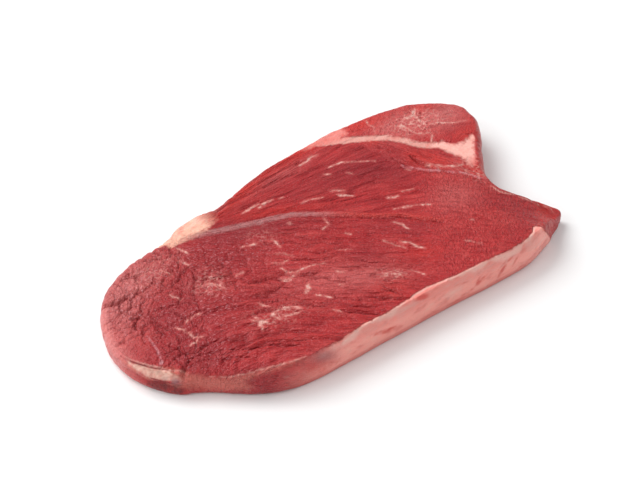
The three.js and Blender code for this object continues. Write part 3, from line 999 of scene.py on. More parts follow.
        blocks = share["main"] * blocky
        relief.cushion(blocks, cells(turned(self.fibre_turn, 11, 6.2), 29), 0.14, 1.4, 0.95)
        relief.cushion(blocks, cells(turned(self.fibre_turn, 4.2, 2.6), 30), 0.25, 0.5, 0.55)
        strength = 0.55 + 0.45 * ramp(-0.3, 0.2, noise(plan / 11, 34))
        strength = strength * np.clip(1 - self.smooth.over(x, y), 0, 1)
        cobbles, pebbles = cells(bent / 8.4 + 0.12 * sway, 35), cells(bent / 3.4, 36)
        relief.cushion(share["end"] * strength, cobbles, 0.11, 1.7, 1.0)
        relief.cushion(share["end"] * (0.3 + 0.7 * strength), pebbles, 0.22, 0.75, 0.75)

        grain = noise(turned(self.fibre_turn, 7, 1.5), 51)
        relief.rise += grain * (0.1 * share["main"] + 0.07 * share["right"])
        relief.rise += noise(plan / 1.7, 53) * 0.14 * (share["end"] + share["lobe"])
        relief.rise += 0.34 * layered(plan / 17, 55) + 0.16 * layered(plan / 6, 57)

    def shape_lines(self, relief: Relief, x: Array, y: Array) -> None:
        """Add the single creases and pits as sunk bells with shade painted into them, and the flaps
        as raised ones.

        Args:
            relief: The relief to add to.
            x: Plan positions.
            y: Plan positions.
        """
        ragged = 0.5 * noise(np.stack([x, y], 1) / 2.6, 61)
        for crease in self.creases:
            near = beside(x, y, self.settle(crease.path))
            groove = bell((near.away + ragged) / (crease.half * near.taper(0.0, 0.5, 0.05)))
            relief.sink(1.1 * crease.half * groove, 0.95 * groove)
        for pit in self.pits:
            near = beside(x, y, self.settle(pit.path))
            groove = bell(near.away / (pit.half * near.taper(0.0, 0.5, 0.12)))
            relief.sink(1.6 * pit.half * groove, 0.8 * groove)
        for flap in self.flaps:
            away = beside(x, y, self.settle(flap.path)).away
            relief.rise += 0.7 * flap.half * bell(away / flap.half)

    def shape_seams(self, relief: Relief, x: Array, y: Array) -> None:
        """Add the seams: raised or sunk bands along their lines, with grooves beside them.

        The wide seam is a low band at its left end. Further on it is a bank with a ditch on its
        front side, with shade painted into the ditch and into a nick along its front edge further
        left. The fat seam is sunk. The fine one stands over a groove with shade painted into it.

        Args:
            relief: The relief to add to.
            x: Plan positions.
            y: Plan positions.
        """
        near = beside(x, y, self.settle(self.wide_seam.path))
        half = near.width(self.wide_seam.halves)
        relief.rise += 0.3 * np.exp(-((near.away / half) ** 4)) * ramp(25, 5, x)
        ditched = ramp(4, 24, x) * ramp(61, 57, x)
        ditch = bell((near.side + half + 0.7) / 0.95) * ditched
        bank = bell((near.side - 0.4) / 1.2) * ditched
        nick = bell((near.side + half + 0.5) / 0.8) * (1 - ditched) * ramp(-64, -50, x)
        # painted shade in the ditch and the nick
        relief.sink(1.35 * ditch - 0.5 * bank + 0.5 * nick, np.maximum(ditch, 0.6 * nick))

        near = beside(x, y, self.fat_seam.path)
        half = near.width(self.fat_seam.halves) + 0.4
        relief.rise -= 0.45 * np.exp(-((near.away / half) ** 4)) * ramp(40, 50, x)

        near = beside(x, y, self.fine_seam.path)
        under = bell((near.side + 1.3) / 0.7) * ramp(99, 92, x)
        # painted shade in the groove under the fine seam
        relief.sink(0.4 * under - 0.3 * bell(near.away / 0.7), 0.6 * under)

    def tint(self, kind: Tint, x: Array, y: Array) -> Array:
        """Share of a colour shift: soft patches joined as 1 - product of (1 - patch)."""
        left = np.ones(x.shape)
        for patch in self.patches[kind]:
            left *= 1 - np.clip(patch.over(x, y), 0, 1)
        return 1 - left

    def streaks(self, x: Array, y: Array) -> Array:
        """Depth inside the nearest streak of fat, in millimetres, negative outside."""
        best = np.full(x.shape, -6.0)
        for streak in self.marbling:
            near = beside(x, y, self.settle(streak.path))
            best = np.maximum(best, 0.75 * streak.half * near.taper(0.35, 0.6) - near.away)
        plan = np.stack([x, y], 1)
        return best + 0.45 * noise(plan / 2.2, 71) + 0.3 * noise(plan / 0.9, 72)

    def cap_line(self, x: Array) -> Array:
        """Where the fat cap begins on the cut face, as y at each x."""
        return np.interp(x, *np.array(self.cap_edge).T)

    def fat(self, x: Array, y: Array, z: Array) -> Array:
        """Depth inside the fat cap, the fat seam, the corner fat and the two pads.

        Args:
            x: Plan positions.
            y: Plan positions.
            z: Heights, because the borders slant across the rim.

        Returns:
            Millimetres, positive inside.
        """
        front = self.cap_line(x) + 3 * (1 - np.clip(z / LEVEL, 0, 1)) - y
        left_end = 0.5 * (x + 88 - 0.5 * (LEVEL - z))
        right_end = 98 + 0.7 * (19 - z) - x
        cap = np.minimum.reduce([front, left_end, right_end])
        near = beside(x, y, self.fat_seam.path)
        seam = near.width(self.fat_seam.halves) - near.away
        corner = inside_of(x, y, self.corner_fat) - 0.7 * np.clip(15 - z, 0, 9)
        pads = np.maximum(inside_of(x, y, self.left_pad), inside_of(x, y, self.right_pad))
        pads = pads - 0.5 * np.clip(7 - z, 0, 7)
        return np.clip(np.maximum.reduce([cap, seam, corner, pads]), -FAR, FAR)

    def rim_marks(self, x: Array, y: Array, z: Array) -> dict[str, Array]:
        """Skin, film, the hollow with its painted shade, the pale rim with its painted highlight,
        painted gap shadows, threads, flaps, blood stains, painted highlights and painted grey shade
        on the front of the rim.

        They are noted on the plane at LEVEL, so each point of the rim is moved up its line of
        sight before it is compared with them. Points on the back of the slab have none.

        Args:
            x: Plan positions.
            y: Plan positions.
            z: Heights.

        Returns:
            Depths inside the bands and lines in millimetres, and shares of the patches.
        """
        u, v = x - SIGHT[0] * (LEVEL - z), y - SIGHT[1] * (LEVEL - z)
        behind = y >= 12 - 0.2 * x
        marks = {
            name: inside_of(u, v, corners) - 9.0 * behind for name, corners in self.bands.items()
        }
        for name, lines in self.rim_lines.items():
            depth = np.full(x.shape, -FAR)
            for line in lines:
                near = beside(u, v, line.path)
                depth = np.maximum(depth, line.half * near.taper(0.4, 0.5) - near.away)
            marks[name] = np.clip(depth - 9.0 * behind, -FAR, FAR)
        for name, swells in self.rim_patches.items():
            share = np.max([swell.over(u, v) for swell in swells], axis=0)
            marks[name] = share * ~behind
        return marks

    def fat_marks(self, points: Array) -> dict[str, Array]:
        """What the finish needs to know about the fat: its tones, where it is thin, the painted
        highlight on the cap's edge and the painted shade on its crown.

        Args:
            points: Positions in millimetres on the drawing.

        Returns:
            Shares from 0 to 1 by name.
        """
        x, y, z = points.T
        pads = (self.left_pad, self.right_pad, self.corner_fat)
        left, right, corner = (ramp(-4, 1, inside_of(x, y, pad)) for pad in pads)
        by_left = ramp(-50, -62, x) * ramp(30, 40, y)
        by_seam = ramp(6, 3, beside(x, y, self.fat_seam.path).away)
        edge = np.abs(self.cap_line(x) - 0.9 - y) + 0.4 * noise(points / 5, 92)
        ends = ramp(-66, -46, x) * ramp(97, 92, x)
        notch = ramp(96, 104, x) * ramp(14, 4, y) * ramp(-12, 0, y)
        foot = ramp(5, 2, z) * ramp(-50, -54, y)
        # painted shade on the cap's upper band, which faces the light from above
        crown = ramp(11, 16, z) * ramp(-52, -55, y) * ramp(99, 85, x)
        cap_end = ramp(-34, -74, x + 0.25 * (LEVEL - z)) * ramp(-40, -46, y)
        pad_ends = np.maximum.reduce([ramp(44, 30, x), ramp(59, 68, x), np.full(x.shape, 0.3)])
        return {
            "cream": np.maximum(left, by_left),
            "lace": np.maximum.reduce([left, right, 0.9 * corner, 0.4 * by_seam]),
            "seam_fat": by_seam * (1 - corner) * (1 - right),
            "corner": corner,
            # redder fat at the notch, on the right pad and along the cap's foot, and painted shade
            # on the cap's crown
            "flush_and_shade": np.maximum.reduce([0.7 * notch, 0.25 * right, 0.5 * foot, 0.3 * crown]),
            # painted highlight along the cap's upper edge
            "edge_highlight": 0.8 * ramp(0.8, 0.1, edge) * ramp(14, 17, z) * ends,
            "veil": np.maximum.reduce([cap_end, left * ramp(-47, -32, x), right * pad_ends]),
        }

    def fields(self, points: Array) -> dict[str, Array]:
        """Everything the finish reads at the points of the surface.

        Args:
            points: Positions in millimetres on the drawing.

        Returns:
            Numbers or rows of three per point, by name.
        """
        x, y, z = points.T
        upper, raised = ramp(3, 13, z), z > 0.5
        share = self.muscles(x, y)
        near = beside(x, y, self.settle(self.wide_seam.path))
        seam = near.width(self.wide_seam.halves) - near.away
        near = beside(x, y, self.settle(self.tendon))
        tendon = 0.25 + 0.6 * near.place - near.away
        tendon = np.maximum(tendon, 0.5 - beside(x, y, self.fine_seam.path).away)
        tints = {kind.value: self.tint(kind, x, y) for kind in Tint}
        # the painted glow is stronger up the rim
        tints["warm_and_glow"] *= 0.65 + 0.35 * upper
        # faint painted glints all over the main muscle and the left end
        tints["glint"] = np.maximum(tints["glint"], 0.2 * (share["main"] + share["end"]))
        fat_marks, rim_marks = self.fat_marks(points), self.rim_marks(x, y, z)
        # the corner fat's own whiter tone joins the painted highlights
        rim_marks["white"] = np.maximum(rim_marks["white"], 0.6 * fat_marks.pop("corner"))
        return {
            "fat": self.fat(x, y, z),
            "sinew": np.clip(seam, -FAR, FAR) - 0.4 * (1 - upper),
            "silver": np.clip(tendon + 0.4 * noise(points / 3, 91), -FAR, FAR),
            "streak": np.clip(self.streaks(x, y), -FAR, FAR) - 2.5 * (1 - upper) * raised,
            # painted shade in the creases, weaker low on the rim
            "crease": self.relief(x, y).crease_shade * np.where(raised, upper, 0.45),
            "ripe": 0.8 * ramp(2, 26, x),
            **tints,
            **fat_marks,
            **rim_marks,
            "fan": np.column_stack([*self.fan(x, y), z]),
            "fibres": np.column_stack([*self.fibres(x, y), z]),
            "grain_a": np.column_stack([share["main"], share["middle"], share["end"]]),
            "grain_b": np.column_stack([share["lobe"], share["wedge"], share["right"]]),
        }


# ---------------------------------------------------------------- the slab


@dataclass(frozen=True)
class Fold:
    """A groove that runs along the rim at one height and fades past both its ends."""

    start: tuple[float, float]
    end: tuple[float, float]
    height: float
    half: float
    depth: float
    fade: float = 7.0

    def draw_in(self, x: Array, y: Array, z: Array) -> Array:
        """Millimetres that the groove draws the rim in: a bell across it and one past its ends."""
        away = beside(x, y, (self.start, self.end)).away
        past = np.maximum(away - self.fade, 0) / self.fade
        return self.depth * np.exp(-(((z - self.height) / self.half) ** 2) - past**2)


@dataclass
class Slab:
    """The whole steak as one closed surface: cut face, rim and flat underside."""

    outline: Outline = field(default_factory=Outline)
    face: CutFace = field(default_factory=CutFace)
    # cells of the cut face, rows of the rim over and under its widest line, cells of the cut
    # face for each one of the underside, and the exponent of the rim's section (2 is round)
    along: int = 399
    across: int = 156
    upper_rows: int = 13
    lower_rows: int = 7
    coarse: int = 3
    section: float = 2.5
    # the upper fold runs under the small muscle of the left end, the lower one under the skin
    folds: tuple[Fold, ...] = (
        Fold((-125.5, -1), (-114, -22), 12.0, 1.3, 1.6),
        Fold((-121, -13), (-112, -27), 6.4, 1.4, 1.7),
    )

    def wall_relief(self, x: Array, y: Array, z: Array) -> Array:
        """Lumps of the rim: soft ones on fat, shorter and sharper ones on lean.

        Args:
            x: Plan positions.
            y: Plan positions.
            z: Heights.

        Returns:
            Millimetres outward.
        """
        at = np.stack([x, y, z], 1)
        fatty = ramp(-1, 1, self.face.fat(x, y, z))
        soft = 0.4 * noise(at / 13, 81) + 0.16 * noise(at / 4.5, 82)
        rough = 0.45 * noise(at / 9, 83) + 0.22 * noise(at / 3.2, 84) + 0.1 * noise(at / 1.5, 85)
        return fatty * soft + (1 - fatty) * rough

    def rim(self, stations: Stations) -> Array:
        """Rings of the rim, from the cut face's edge down to the underside's edge.

        Over the widest line the section is a superellipse, inward = crown (1 - cos^(2/n) a)
        and height = waist + (top - waist) sin^(2/n) a; under it the same with heel and waist.

        Args:
            stations: The widest line.

        Returns:
            Positions by ring, station and axis.
        """
        quarter, power = math.pi / 2, 2 / self.section
        upper = quarter * (1 - np.arange(self.upper_rows) / self.upper_rows)
        lower = -quarter * np.arange(self.lower_rows + 1) / self.lower_rows
        edge = stations.xy - stations.out * stations.crown[:, None]
        top = self.face.height(*edge.T) + self.face.relief(*edge.T).rise
        x, y = stations.xy.T
        rings = []
        for angle in (*upper, *lower):
            sine, cosine = math.sin(angle), max(math.cos(angle), 0.0)
            reach, level = (
                (stations.crown, top - stations.waist) if angle > 0
                else (stations.heel, stations.waist)
            )
            inward = reach * (1 - cosine**power)
            z = stations.waist + math.copysign(1, angle) * level * abs(sine) ** power
            drawn_in = sum(fold.draw_in(x, y, z) for fold in self.folds)
            inset = inward + (drawn_in - self.wall_relief(x, y, z)) * cosine**power
            rings.append(np.column_stack([stations.xy - stations.out * inset[:, None], z]))
        return np.array(rings)

    def patch(self, ring: Array, along: int, across: int) -> Array:
        """Coons patch inside a closed ring: both ruled surfaces minus the corners' blend.

        Args:
            ring: Plan positions round the ring, from its front left corner.
            along: Cells on the front and the back side.
            across: Cells on the right and the left side.

        Returns:
            Plan positions by row from the front, column from the left, and axis.
        """
        front, right = ring[: along + 1], ring[along : along + across + 1]
        back = ring[along + across : 2 * along + across + 1][::-1]
        left = np.vstack([ring[2 * along + across :], ring[:1]])[::-1]
        u = np.linspace(0, 1, along + 1)[None, :, None]
        v = np.linspace(0, 1, across + 1)[:, None, None]
        ruled = (1 - v) * front[None] + v * back[None]
        ruled = ruled + (1 - u) * left[:, None] + u * right[:, None]
        low = (1 - u) * front[0] + u * front[-1]
        high = (1 - u) * back[0] + u * back[-1]
        return ruled - (1 - v) * low - v * high

    def numbered(self, along: int, across: int, first: int, step: int, free: int) -> Array:
        """Point numbers of a patch's grid, whose border takes the ring's own points.

        Args:
            along: Cells on the front and the back side.
            across: Cells on the right and the left side.
            first: Number of the ring's first point.
            step: Points of the ring for each cell of the grid's border.
            free: First number for the points inside.

        Returns:
            Numbers by row from the front and column from the left.
        """
        count = 2 * (along + across)
        ring = first + step * (np.arange(count + 1) % count)
        grid = np.full((across + 1, along + 1), -1)
        grid[0] = ring[: along + 1]
        grid[:, along] = ring[along : along + across + 1]
        grid[across] = ring[along + across : 2 * along + across + 1][::-1]
        grid[:, 0] = ring[2 * along + across :][::-1]
        inner = grid < 0
        grid[inner] = free + np.arange(inner.sum())
        return grid

    def surface(self) -> tuple[Array, list[list[int]]]:
        """Points and faces of the closed surface.

        Returns:
            Positions in millimetres on the drawing, and lists of point numbers, outward.
        """
        stations = self.outline.stations(self.along, self.across)
        rings = self.rim(stations)
        rows, count = rings.shape[:2]
        number = np.arange(rows * count).reshape(rows, count)
        nxt = np.roll(number, -1, axis=1)
        wall = np.stack([number[1:], nxt[1:], nxt[:-1], number[:-1]], -1).reshape(-1, 4)

        plan = self.patch(rings[0, :, :2], self.along, self.across)
        grid = self.numbered(self.along, self.across, 0, 1, rows * count)
        x, y = plan[1:-1, 1:-1].reshape(-1, 2).T
        top = np.column_stack([x, y, self.face.height(x, y) + self.face.relief(x, y).rise])
        lids = np.stack([grid[:-1, :-1], grid[:-1, 1:], grid[1:, 1:], grid[1:, :-1]], -1)

        wide, deep = self.along // self.coarse, self.across // self.coarse
        plan = self.patch(rings[-1, :: self.coarse, :2], wide, deep)[1:-1, 1:-1].reshape(-1, 2)
        start = (rows - 1) * count
        under = self.numbered(wide, deep, start, self.coarse, rows * count + len(top))
        sole = np.column_stack([plan, np.zeros(len(plan))])

        points = np.vstack([rings.reshape(-1, 3), top, sole])
        faces = wall.tolist() + lids.reshape(-1, 4).tolist() + self.soles(under, start, count)
        return points, faces

    def soles(self, under: Array, start: int, count: int) -> list[list[int]]:
        """Faces of the underside; its outer ones take up the rim's points between theirs.

        Args:
            under: Point numbers of the coarse grid.
            start: Number of the first point of the rim's lowest ring.
            count: Points in that ring.

        Returns:
            Lists of point numbers, seen counterclockwise from below.
        """
        quads = np.stack([under[:-1, :-1], under[1:, :-1], under[1:, 1:], under[:-1, 1:]], -1)
        faces = []
        for cell in quads.reshape(-1, 4).tolist():
            face = []
            for a, b in zip(cell, cell[1:] + cell[:1]):
                face.append(a)
                on_ring = start <= a < start + count and start <= b < start + count
                if on_ring and (a - b) % count == self.coarse:
                    face += [start + (a - start - k) % count for k in range(1, self.coarse)]
            faces.append(face)
        return faces

    def build(self) -> bpy.types.Object:
        """Make the slab's object with the fields its finish reads.

        Returns:
            The object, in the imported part's frame.
        """
        points, faces = self.surface()
        mesh = bpy.data.meshes.new("raw_steak")
        shift = np.array([*ORIGIN, 0.0])
        mesh.from_pydata(((points - shift) * MM).tolist(), [], faces)
        mesh.polygons.foreach_set("use_smooth", np.ones(len(mesh.polygons), dtype=bool))
        for name, values in self.face.fields(points).items():
            kind, slot = ("FLOAT", "value") if values.ndim == 1 else ("FLOAT_VECTOR", "vector")
            mesh.attributes.new(name, kind, "POINT").data.foreach_set(slot, values.ravel())
        mesh.update()
        steak = bpy.data.objects.new("raw_steak", mesh)
        bpy.context.scene.collection.objects.link(steak)
        return steak


# ---------------------------------------------------------------- the finish


@dataclass
class Graph:
    """A material's node tree, with one way to add to it."""

    tree: bpy.types.NodeTree

    def add(self, kind: str, inputs: Any = (), out: int | str | None = 0, **settings: Any) -> Any:
        """Add a node, set it up and fill its inputs.

        An input is a number, another node's output, a hex colour, or the name of one of the
        slab's fields, which is read through a node of its own.

        Args:
            kind: The node's Blender type after "ShaderNode".
            inputs: Inputs in the node's own order, or by their names or numbers.
            out: Which output to return, if any.
            settings: The node's own settings.

        Returns:
            The chosen output socket.
        """
        node = self.tree.nodes.new(f"ShaderNode{kind}")
        for name, value in settings.items():
            setattr(node, name, value)
        for key, value in inputs.items() if isinstance(inputs, dict) else enumerate(inputs):
            if isinstance(value, str) and value.startswith("#"):
                value = linear(value)
            elif isinstance(value, str):
                value = self.add("Attribute", out="Fac", attribute_name=value)
            if isinstance(value, bpy.types.NodeSocket):
                self.tree.links.new(value, node.inputs[key])
            else:
                node.inputs[key].default_value = value
        return None if out is None else node.outputs[out]


@dataclass(frozen=True)
class Speckle:
    """Noise from 0 to 1 whose blobs measure size, in millimetres, turned about Z by degrees."""

    size: tuple[float, float, float]
    turn: float = 0.0
    detail: float = 2.0

    def lay_out(self, graph: Graph, at: Any, unit: float = MM) -> Any:
        """Add the noise to a material.

        Args:
            graph: The material's nodes.
            at: The positions that it is laid out on.
            unit: A millimetre in the units of those positions.

        Returns:
            The noise.
        """
        turn, scale = (0, 0, math.radians(self.turn)), tuple(unit * s for s in self.size)
        inputs = {"Vector": at, "Rotation": turn, "Scale": scale}
        placed = graph.add("Mapping", inputs, vector_type="TEXTURE")
        inputs = {"Vector": placed, "Scale": 1.0, "Detail": self.detail, "Roughness": 0.55}
        return graph.add("TexNoise", inputs)


@dataclass(frozen=True)
class Grain:
    """Fibre streaks of one muscle: which way they run and how long and wide they are.

    Lengths and widths are in millimetres, along and across the coordinates of a field of
    the slab, or of the drawing turned about Z where no field is named.
    """

    layer: str
    part: str
    along: str | None
    turn: float
    coarse: tuple[float, float]
    fine: tuple[float, float]
    wrinkle: tuple[float, float]
    wrinkled: float


@dataclass(frozen=True)
class Coat:
    """One colour laid over the last: its share is strength times a value.

    The value is a noise or one of the slab's fields. Where step is given, the value is first
    passed through a smooth step from its first number to its second. A ragged border adds
    fine noise, in millimetres, to the value before that.
    """

    where: str
    colour: str
    strength: float | str = 1.0
    step: tuple[float, float] | None = None
    ragged: float = 0.0


SMOOTH = {"interpolation_type": "SMOOTHSTEP"}


@dataclass(frozen=True)
class RawBeef:
    """Moist raw beef with its fat, seams and skin.

    The lean is streaked along the fibres of each muscle, with shade painted into the creases
    between the bundles; fat, seams and marbling are laid in where the slab's fields say how
    far inside them a point is, with ragged edges from fine noise and worn or thinned-out
    patches. Glints, highlights on edges, the glow of backlit rims and shade in hollows and
    gaps are painted on too. A thin clear coat gives the wet gloss, and a little light
    passing under the surface keeps fat and lean from looking painted.
    """

    lean: str = "#b82f31"
    lean_dark: str = "#961d22"
    lean_light: str = "#cd4f4c"
    # colour of the shade painted into creases, wrinkles and gaps
    crease: str = "#86151b"
    purple: str = "#84222b"
    pale_and_highlight: str = "#e28884"
    orange_red: str = "#d2342a"
    # pale pink, also the colour of the painted highlight on the left end
    marbling: str = "#d87d76"
    white_fat: str = "#efbbaf"
    # lilac of the silverskin, also the colour of painted glints
    lilac_and_glint: str = "#dd969c"
    cap_fat: str = "#fda599"
    pad_fat: str = "#f0b69f"
    seam_fat: str = "#dc9c91"
    flushed_fat: str = "#c84642"
    fat_vein: str = "#d9675f"
    seam: str = "#b87878"
    silver: str = "#e0b8a6"
    film: str = "#d17a6c"
    # dark red of the shade painted in the hollow under the skin
    hollow_shade: str = "#6b2a2b"
    # purple-grey of painted shade
    shade_grey: str = "#8c6668"
    grains: tuple[Grain, ...] = (
        Grain("grain_a", "X", "fibres", 0.0, (24, 2.2), (7, 0.9), (15, 3.4), 0.6),
        Grain("grain_a", "Y", "fan", 0.0, (36, 1.9), (14, 0.8), (32, 3.0), 0.6),
        Grain("grain_a", "Z", None, 52.0, (5.0, 3.6), (1.3, 0.95), (5.5, 4.0), 0.35),
        Grain("grain_b", "X", None, 20.0, (8, 3.4), (1.8, 1.0), (9, 4.2), 0.3),
        Grain("grain_b", "Y", None, -60.0, (14, 2.0), (4, 0.8), (12, 3.0), 0.5),
        Grain("grain_b", "Z", None, -40.0, (7, 1.9), (1.1, 2.6), (2.6, 4.4), 0.6),
    )
    noises: dict[str, Speckle] = field(
        default_factory=lambda: {
            "cloud": Speckle((19, 13, 13), -36.5, 3.0),  # broad clouds along the fibres
            "rag": Speckle((2.2, 2.2, 2.2), detail=3.0),  # ragged borders
            "hair": Speckle((16, 0.9, 3), -30.0),  # loose hairs of fat
            "patchy": Speckle((20, 12, 20), 20.0),  # where they are
            "glint_specks": Speckle((1.3, 0.9, 0.9), -30.0, 1.0),  # specks of painted glint
            "gaps": Speckle((2.8, 2.2, 2.2), detail=1.0),  # breaks in streaks and seams
            "veins": Speckle((16, 5, 5), 20.0, 3.0),  # veins of the fat
            "strands": Speckle((5, 1.9, 1.9), 24.0, 3.0),  # lean in the pads and the corner
            "grit": Speckle((1.1, 1.1, 1.1)),  # fine relief of the lean
            "smooth": Speckle((5, 3, 3), detail=3.0),  # soft relief of the fat
        }
    )

    def build(self) -> bpy.types.Material:
        """Make the material.

        Returns:
            The finished material.
        """
        material = bpy.data.materials.new("raw beef, moist lean and fat")
        material.use_nodes = True
        graph = Graph(material.node_tree)
        graph.tree.nodes.clear()
        position = graph.add("TexCoord", out="Object")
        made = {name: noise_of.lay_out(graph, position) for name, noise_of in self.noises.items()}
        self.streaks(graph, position, made)
        self.weave(graph, position, made)
        colour, fatness = self.colours(graph, made)
        surface = self.surface(graph, made, colour, fatness)
        graph.add("OutputMaterial", {"Surface": surface}, out=None)
        return material

    def streaks(self, graph: Graph, position: Any, made: dict[str, Any]) -> None:
        """Make fibre streaks about 0.5 and wrinkles, each muscle's own, mixed by its share.

        A wrinkle lies where stretched noise crosses 0.5.

        Args:
            graph: The material's nodes.
            position: Position in metres.
            made: What is made so far, which "coarse", "fine" and "wrinkle" are added to.
        """
        totals: dict[str, Any] = {"coarse": 0.0, "fine": 0.0, "wrinkle": 0.0, "wrinkled": 0.0}
        shares = {}
        for layer in ("grain_a", "grain_b"):
            field_of = graph.add("Attribute", out="Vector", attribute_name=layer)
            shares[layer] = graph.add("SeparateXYZ", (field_of,)).node.outputs
        for grain in self.grains:
            share = shares[grain.layer][grain.part]
            at, unit = position, MM
            if grain.along:
                at, unit = graph.add("Attribute", out="Vector", attribute_name=grain.along), 1.0
            for name in ("coarse", "fine", "wrinkle"):
                long, wide = getattr(grain, name)
                streak = Speckle((long, wide, 1.6 * wide), grain.turn).lay_out(graph, at, unit)
                inputs = (share, streak, totals[name])
                totals[name] = graph.add("Math", inputs, operation="MULTIPLY_ADD")
            inputs = (share, grain.wrinkled, totals["wrinkled"])
            totals["wrinkled"] = graph.add("Math", inputs, operation="MULTIPLY_ADD")
        off = graph.add("Math", (totals["wrinkle"], 0.5), operation="SUBTRACT")
        off = graph.add("Math", (off,), operation="ABSOLUTE")
        line = graph.add("MapRange", (off, 0.045, 0.0), **SMOOTH)
        made["coarse"], made["fine"] = totals["coarse"], totals["fine"]
        made["wrinkle"] = graph.add("Math", (line, totals["wrinkled"]), operation="MULTIPLY")

    def weave(self, graph: Graph, position: Any, made: dict[str, Any]) -> None:
        """Make what the coats read apart from plain noises and fields, out of the noises.

        Args:
            graph: The material's nodes.
            position: Position in metres.
            made: What is made so far, which the results are added to by name.
        """
        made["rag_mm"] = graph.add("Math", (made["rag"], 2.4, -1.2), operation="MULTIPLY_ADD")
        # breaks in seams and streaks, and softer ones where the skin and the wide seam are worn
        made["broken"] = graph.add("MapRange", (made["gaps"], 0.38, 0.62, 0.1, 0.75))
        made["worn"] = graph.add("Math", (made["broken"], 0.5, 0.48), operation="MULTIPLY_ADD")
        # loose hairs of fat in patches of the lean
        hair = graph.add("MapRange", (made["hair"], 0.66, 0.76), **SMOOTH)
        patchy = graph.add("MapRange", (made["patchy"], 0.5, 0.66), **SMOOTH)
        made["loose"] = graph.add("Math", (hair, patchy), operation="MULTIPLY")
        # painted glints, and broken fat on the lean with a net of fine threads in it
        made["glint_share"] = graph.add("Math", ("glint", 0.6), operation="MULTIPLY")
        made["milk"] = graph.add("Math", ("milky", made["broken"]), operation="MULTIPLY")
        stir = graph.add("TexNoise", {"Vector": position, "Scale": 400.0}, out=1)
        stir = graph.add("VectorMath", {0: stir, "Scale": 0.0018}, operation="SCALE")
        bent = graph.add("VectorMath", (position, stir), operation="ADD")
        inputs = {"Vector": bent, "Scale": 380.0}
        made["net"] = graph.add("TexVoronoi", inputs, feature="DISTANCE_TO_EDGE")
        # threads of lean in the pads and the corner fat
        laced = graph.add("Math", (made["broken"], 0.7), operation="MULTIPLY")
        made["laced"] = graph.add("Math", ("lace", laced), operation="MULTIPLY")

    def lay(self, graph: Graph, made: dict[str, Any], ground: Any, coats: tuple[Coat, ...]) -> Any:
        """Lay coats over a ground, one after another.

        Args:
            graph: The material's nodes.
            made: Noises and the like by name.
            ground: Colour under them.
            coats: The coats in their order.

        Returns:
            The colour.
        """
        colour = ground
        for coat in coats:
            share = made.get(coat.where, coat.where)
            if coat.ragged:
                inputs = (made["rag_mm"], coat.ragged, share)
                share = graph.add("Math", inputs, operation="MULTIPLY_ADD")
            if coat.step:
                share = graph.add("MapRange", (share, *coat.step), **SMOOTH)
            if coat.strength != 1.0:
                inputs = (share, made.get(coat.strength, coat.strength))
                share = graph.add("Math", inputs, operation="MULTIPLY")
            inputs = {0: share, 6: colour, 7: made.get(coat.colour, coat.colour)}
            colour = graph.add("Mix", inputs, out=2, data_type="RGBA")
        return colour

    def colours(self, graph: Graph, made: dict[str, Any]) -> tuple[Any, Any]:
        """Lay streaks, painted shade in creases, marbling, seams, fat, film and skin over the lean,
        in that order, with painted glints, highlights, glow and shade among them.

        Args:
            graph: The material's nodes.
            made: Noises and the like by name.

        Returns:
            The colour, and how much of the surface is smooth fat or skin.
        """
        made["seam tone"] = self.lay(graph, made, self.seam, (
            Coat("cream", self.pad_fat),
            Coat("ripe", self.orange_red),
        ))  # fmt: skip
        colour = self.lay(graph, made, self.lean, (
            Coat("coarse", self.lean_dark, 0.55, (0.5, 0.26)),
            Coat("coarse", self.lean_light, 0.5, (0.48, 0.75)),
            Coat("fine", self.lean_light, 0.4, (0.5, 0.78)),
            Coat("fine", self.lean_dark, 0.35, (0.48, 0.22)),
            Coat("cloud", self.lean_light, 0.35, (0.5, 0.72)),
            Coat("cloud", self.purple, 0.25, (0.5, 0.28)),
            # paler lean, partly the painted highlight on the left end
            Coat("pale", self.pale_and_highlight, 0.75),
            Coat("deep", self.purple, 0.75),
            # oranger lean and the painted glow of backlit edges
            Coat("warm_and_glow", self.orange_red, 0.8),
            # purple tone under the painted glints
            Coat("glint", self.purple, 0.25),
            # painted shade in the creases and wrinkles
            Coat("crease", self.crease, 0.8),
            Coat("wrinkle", self.crease, 0.35),
            Coat("loose", self.marbling, 0.35),
            # painted glints: lilac specks
            Coat("glint_specks", self.lilac_and_glint, "glint_share", (0.58, 0.72)),
            Coat("rag", self.marbling, "milk", (0.45, 0.62)),
            Coat("net", self.white_fat, "milk", (0.14, 0.0)),
            Coat("streak", self.marbling, 0.5, (-1.3, 0.4), 0.65),
            Coat("streak", self.white_fat, "broken", (-0.35, 0.45), 0.65),
            Coat("sinew", "seam tone", "worn", (-1.0, 0.7), 0.7),
            Coat("silver", self.lilac_and_glint, "broken", (-0.9, 0.7), 0.7),
        ))  # fmt: skip
        made["fat tone"] = self.lay(graph, made, self.cap_fat, (
            Coat("cream", self.pad_fat),
            Coat("seam_fat", self.seam_fat),
            Coat("veins", self.fat_vein, 0.55, (0.5, 0.72)),
            Coat("veins", self.white_fat, 0.35, (0.46, 0.3)),
            Coat("strands", self.fat_vein, "laced", (0.5, 0.7)),
            # painted highlights on the cap, and the corner fat's own whiter tone
            Coat("white", self.white_fat, 0.7, (0.0, 0.8), 0.2),
            # redder fat, and painted shade on the cap's crown
            Coat("flush_and_shade", self.flushed_fat),
            Coat("blood", self.orange_red, 0.75, (0.15, 0.8), 0.22),
            # painted highlight along the cap's upper edge
            Coat("edge_highlight", self.white_fat),
        ))  # fmt: skip
        made["fatness"] = self.fatness(graph, made)
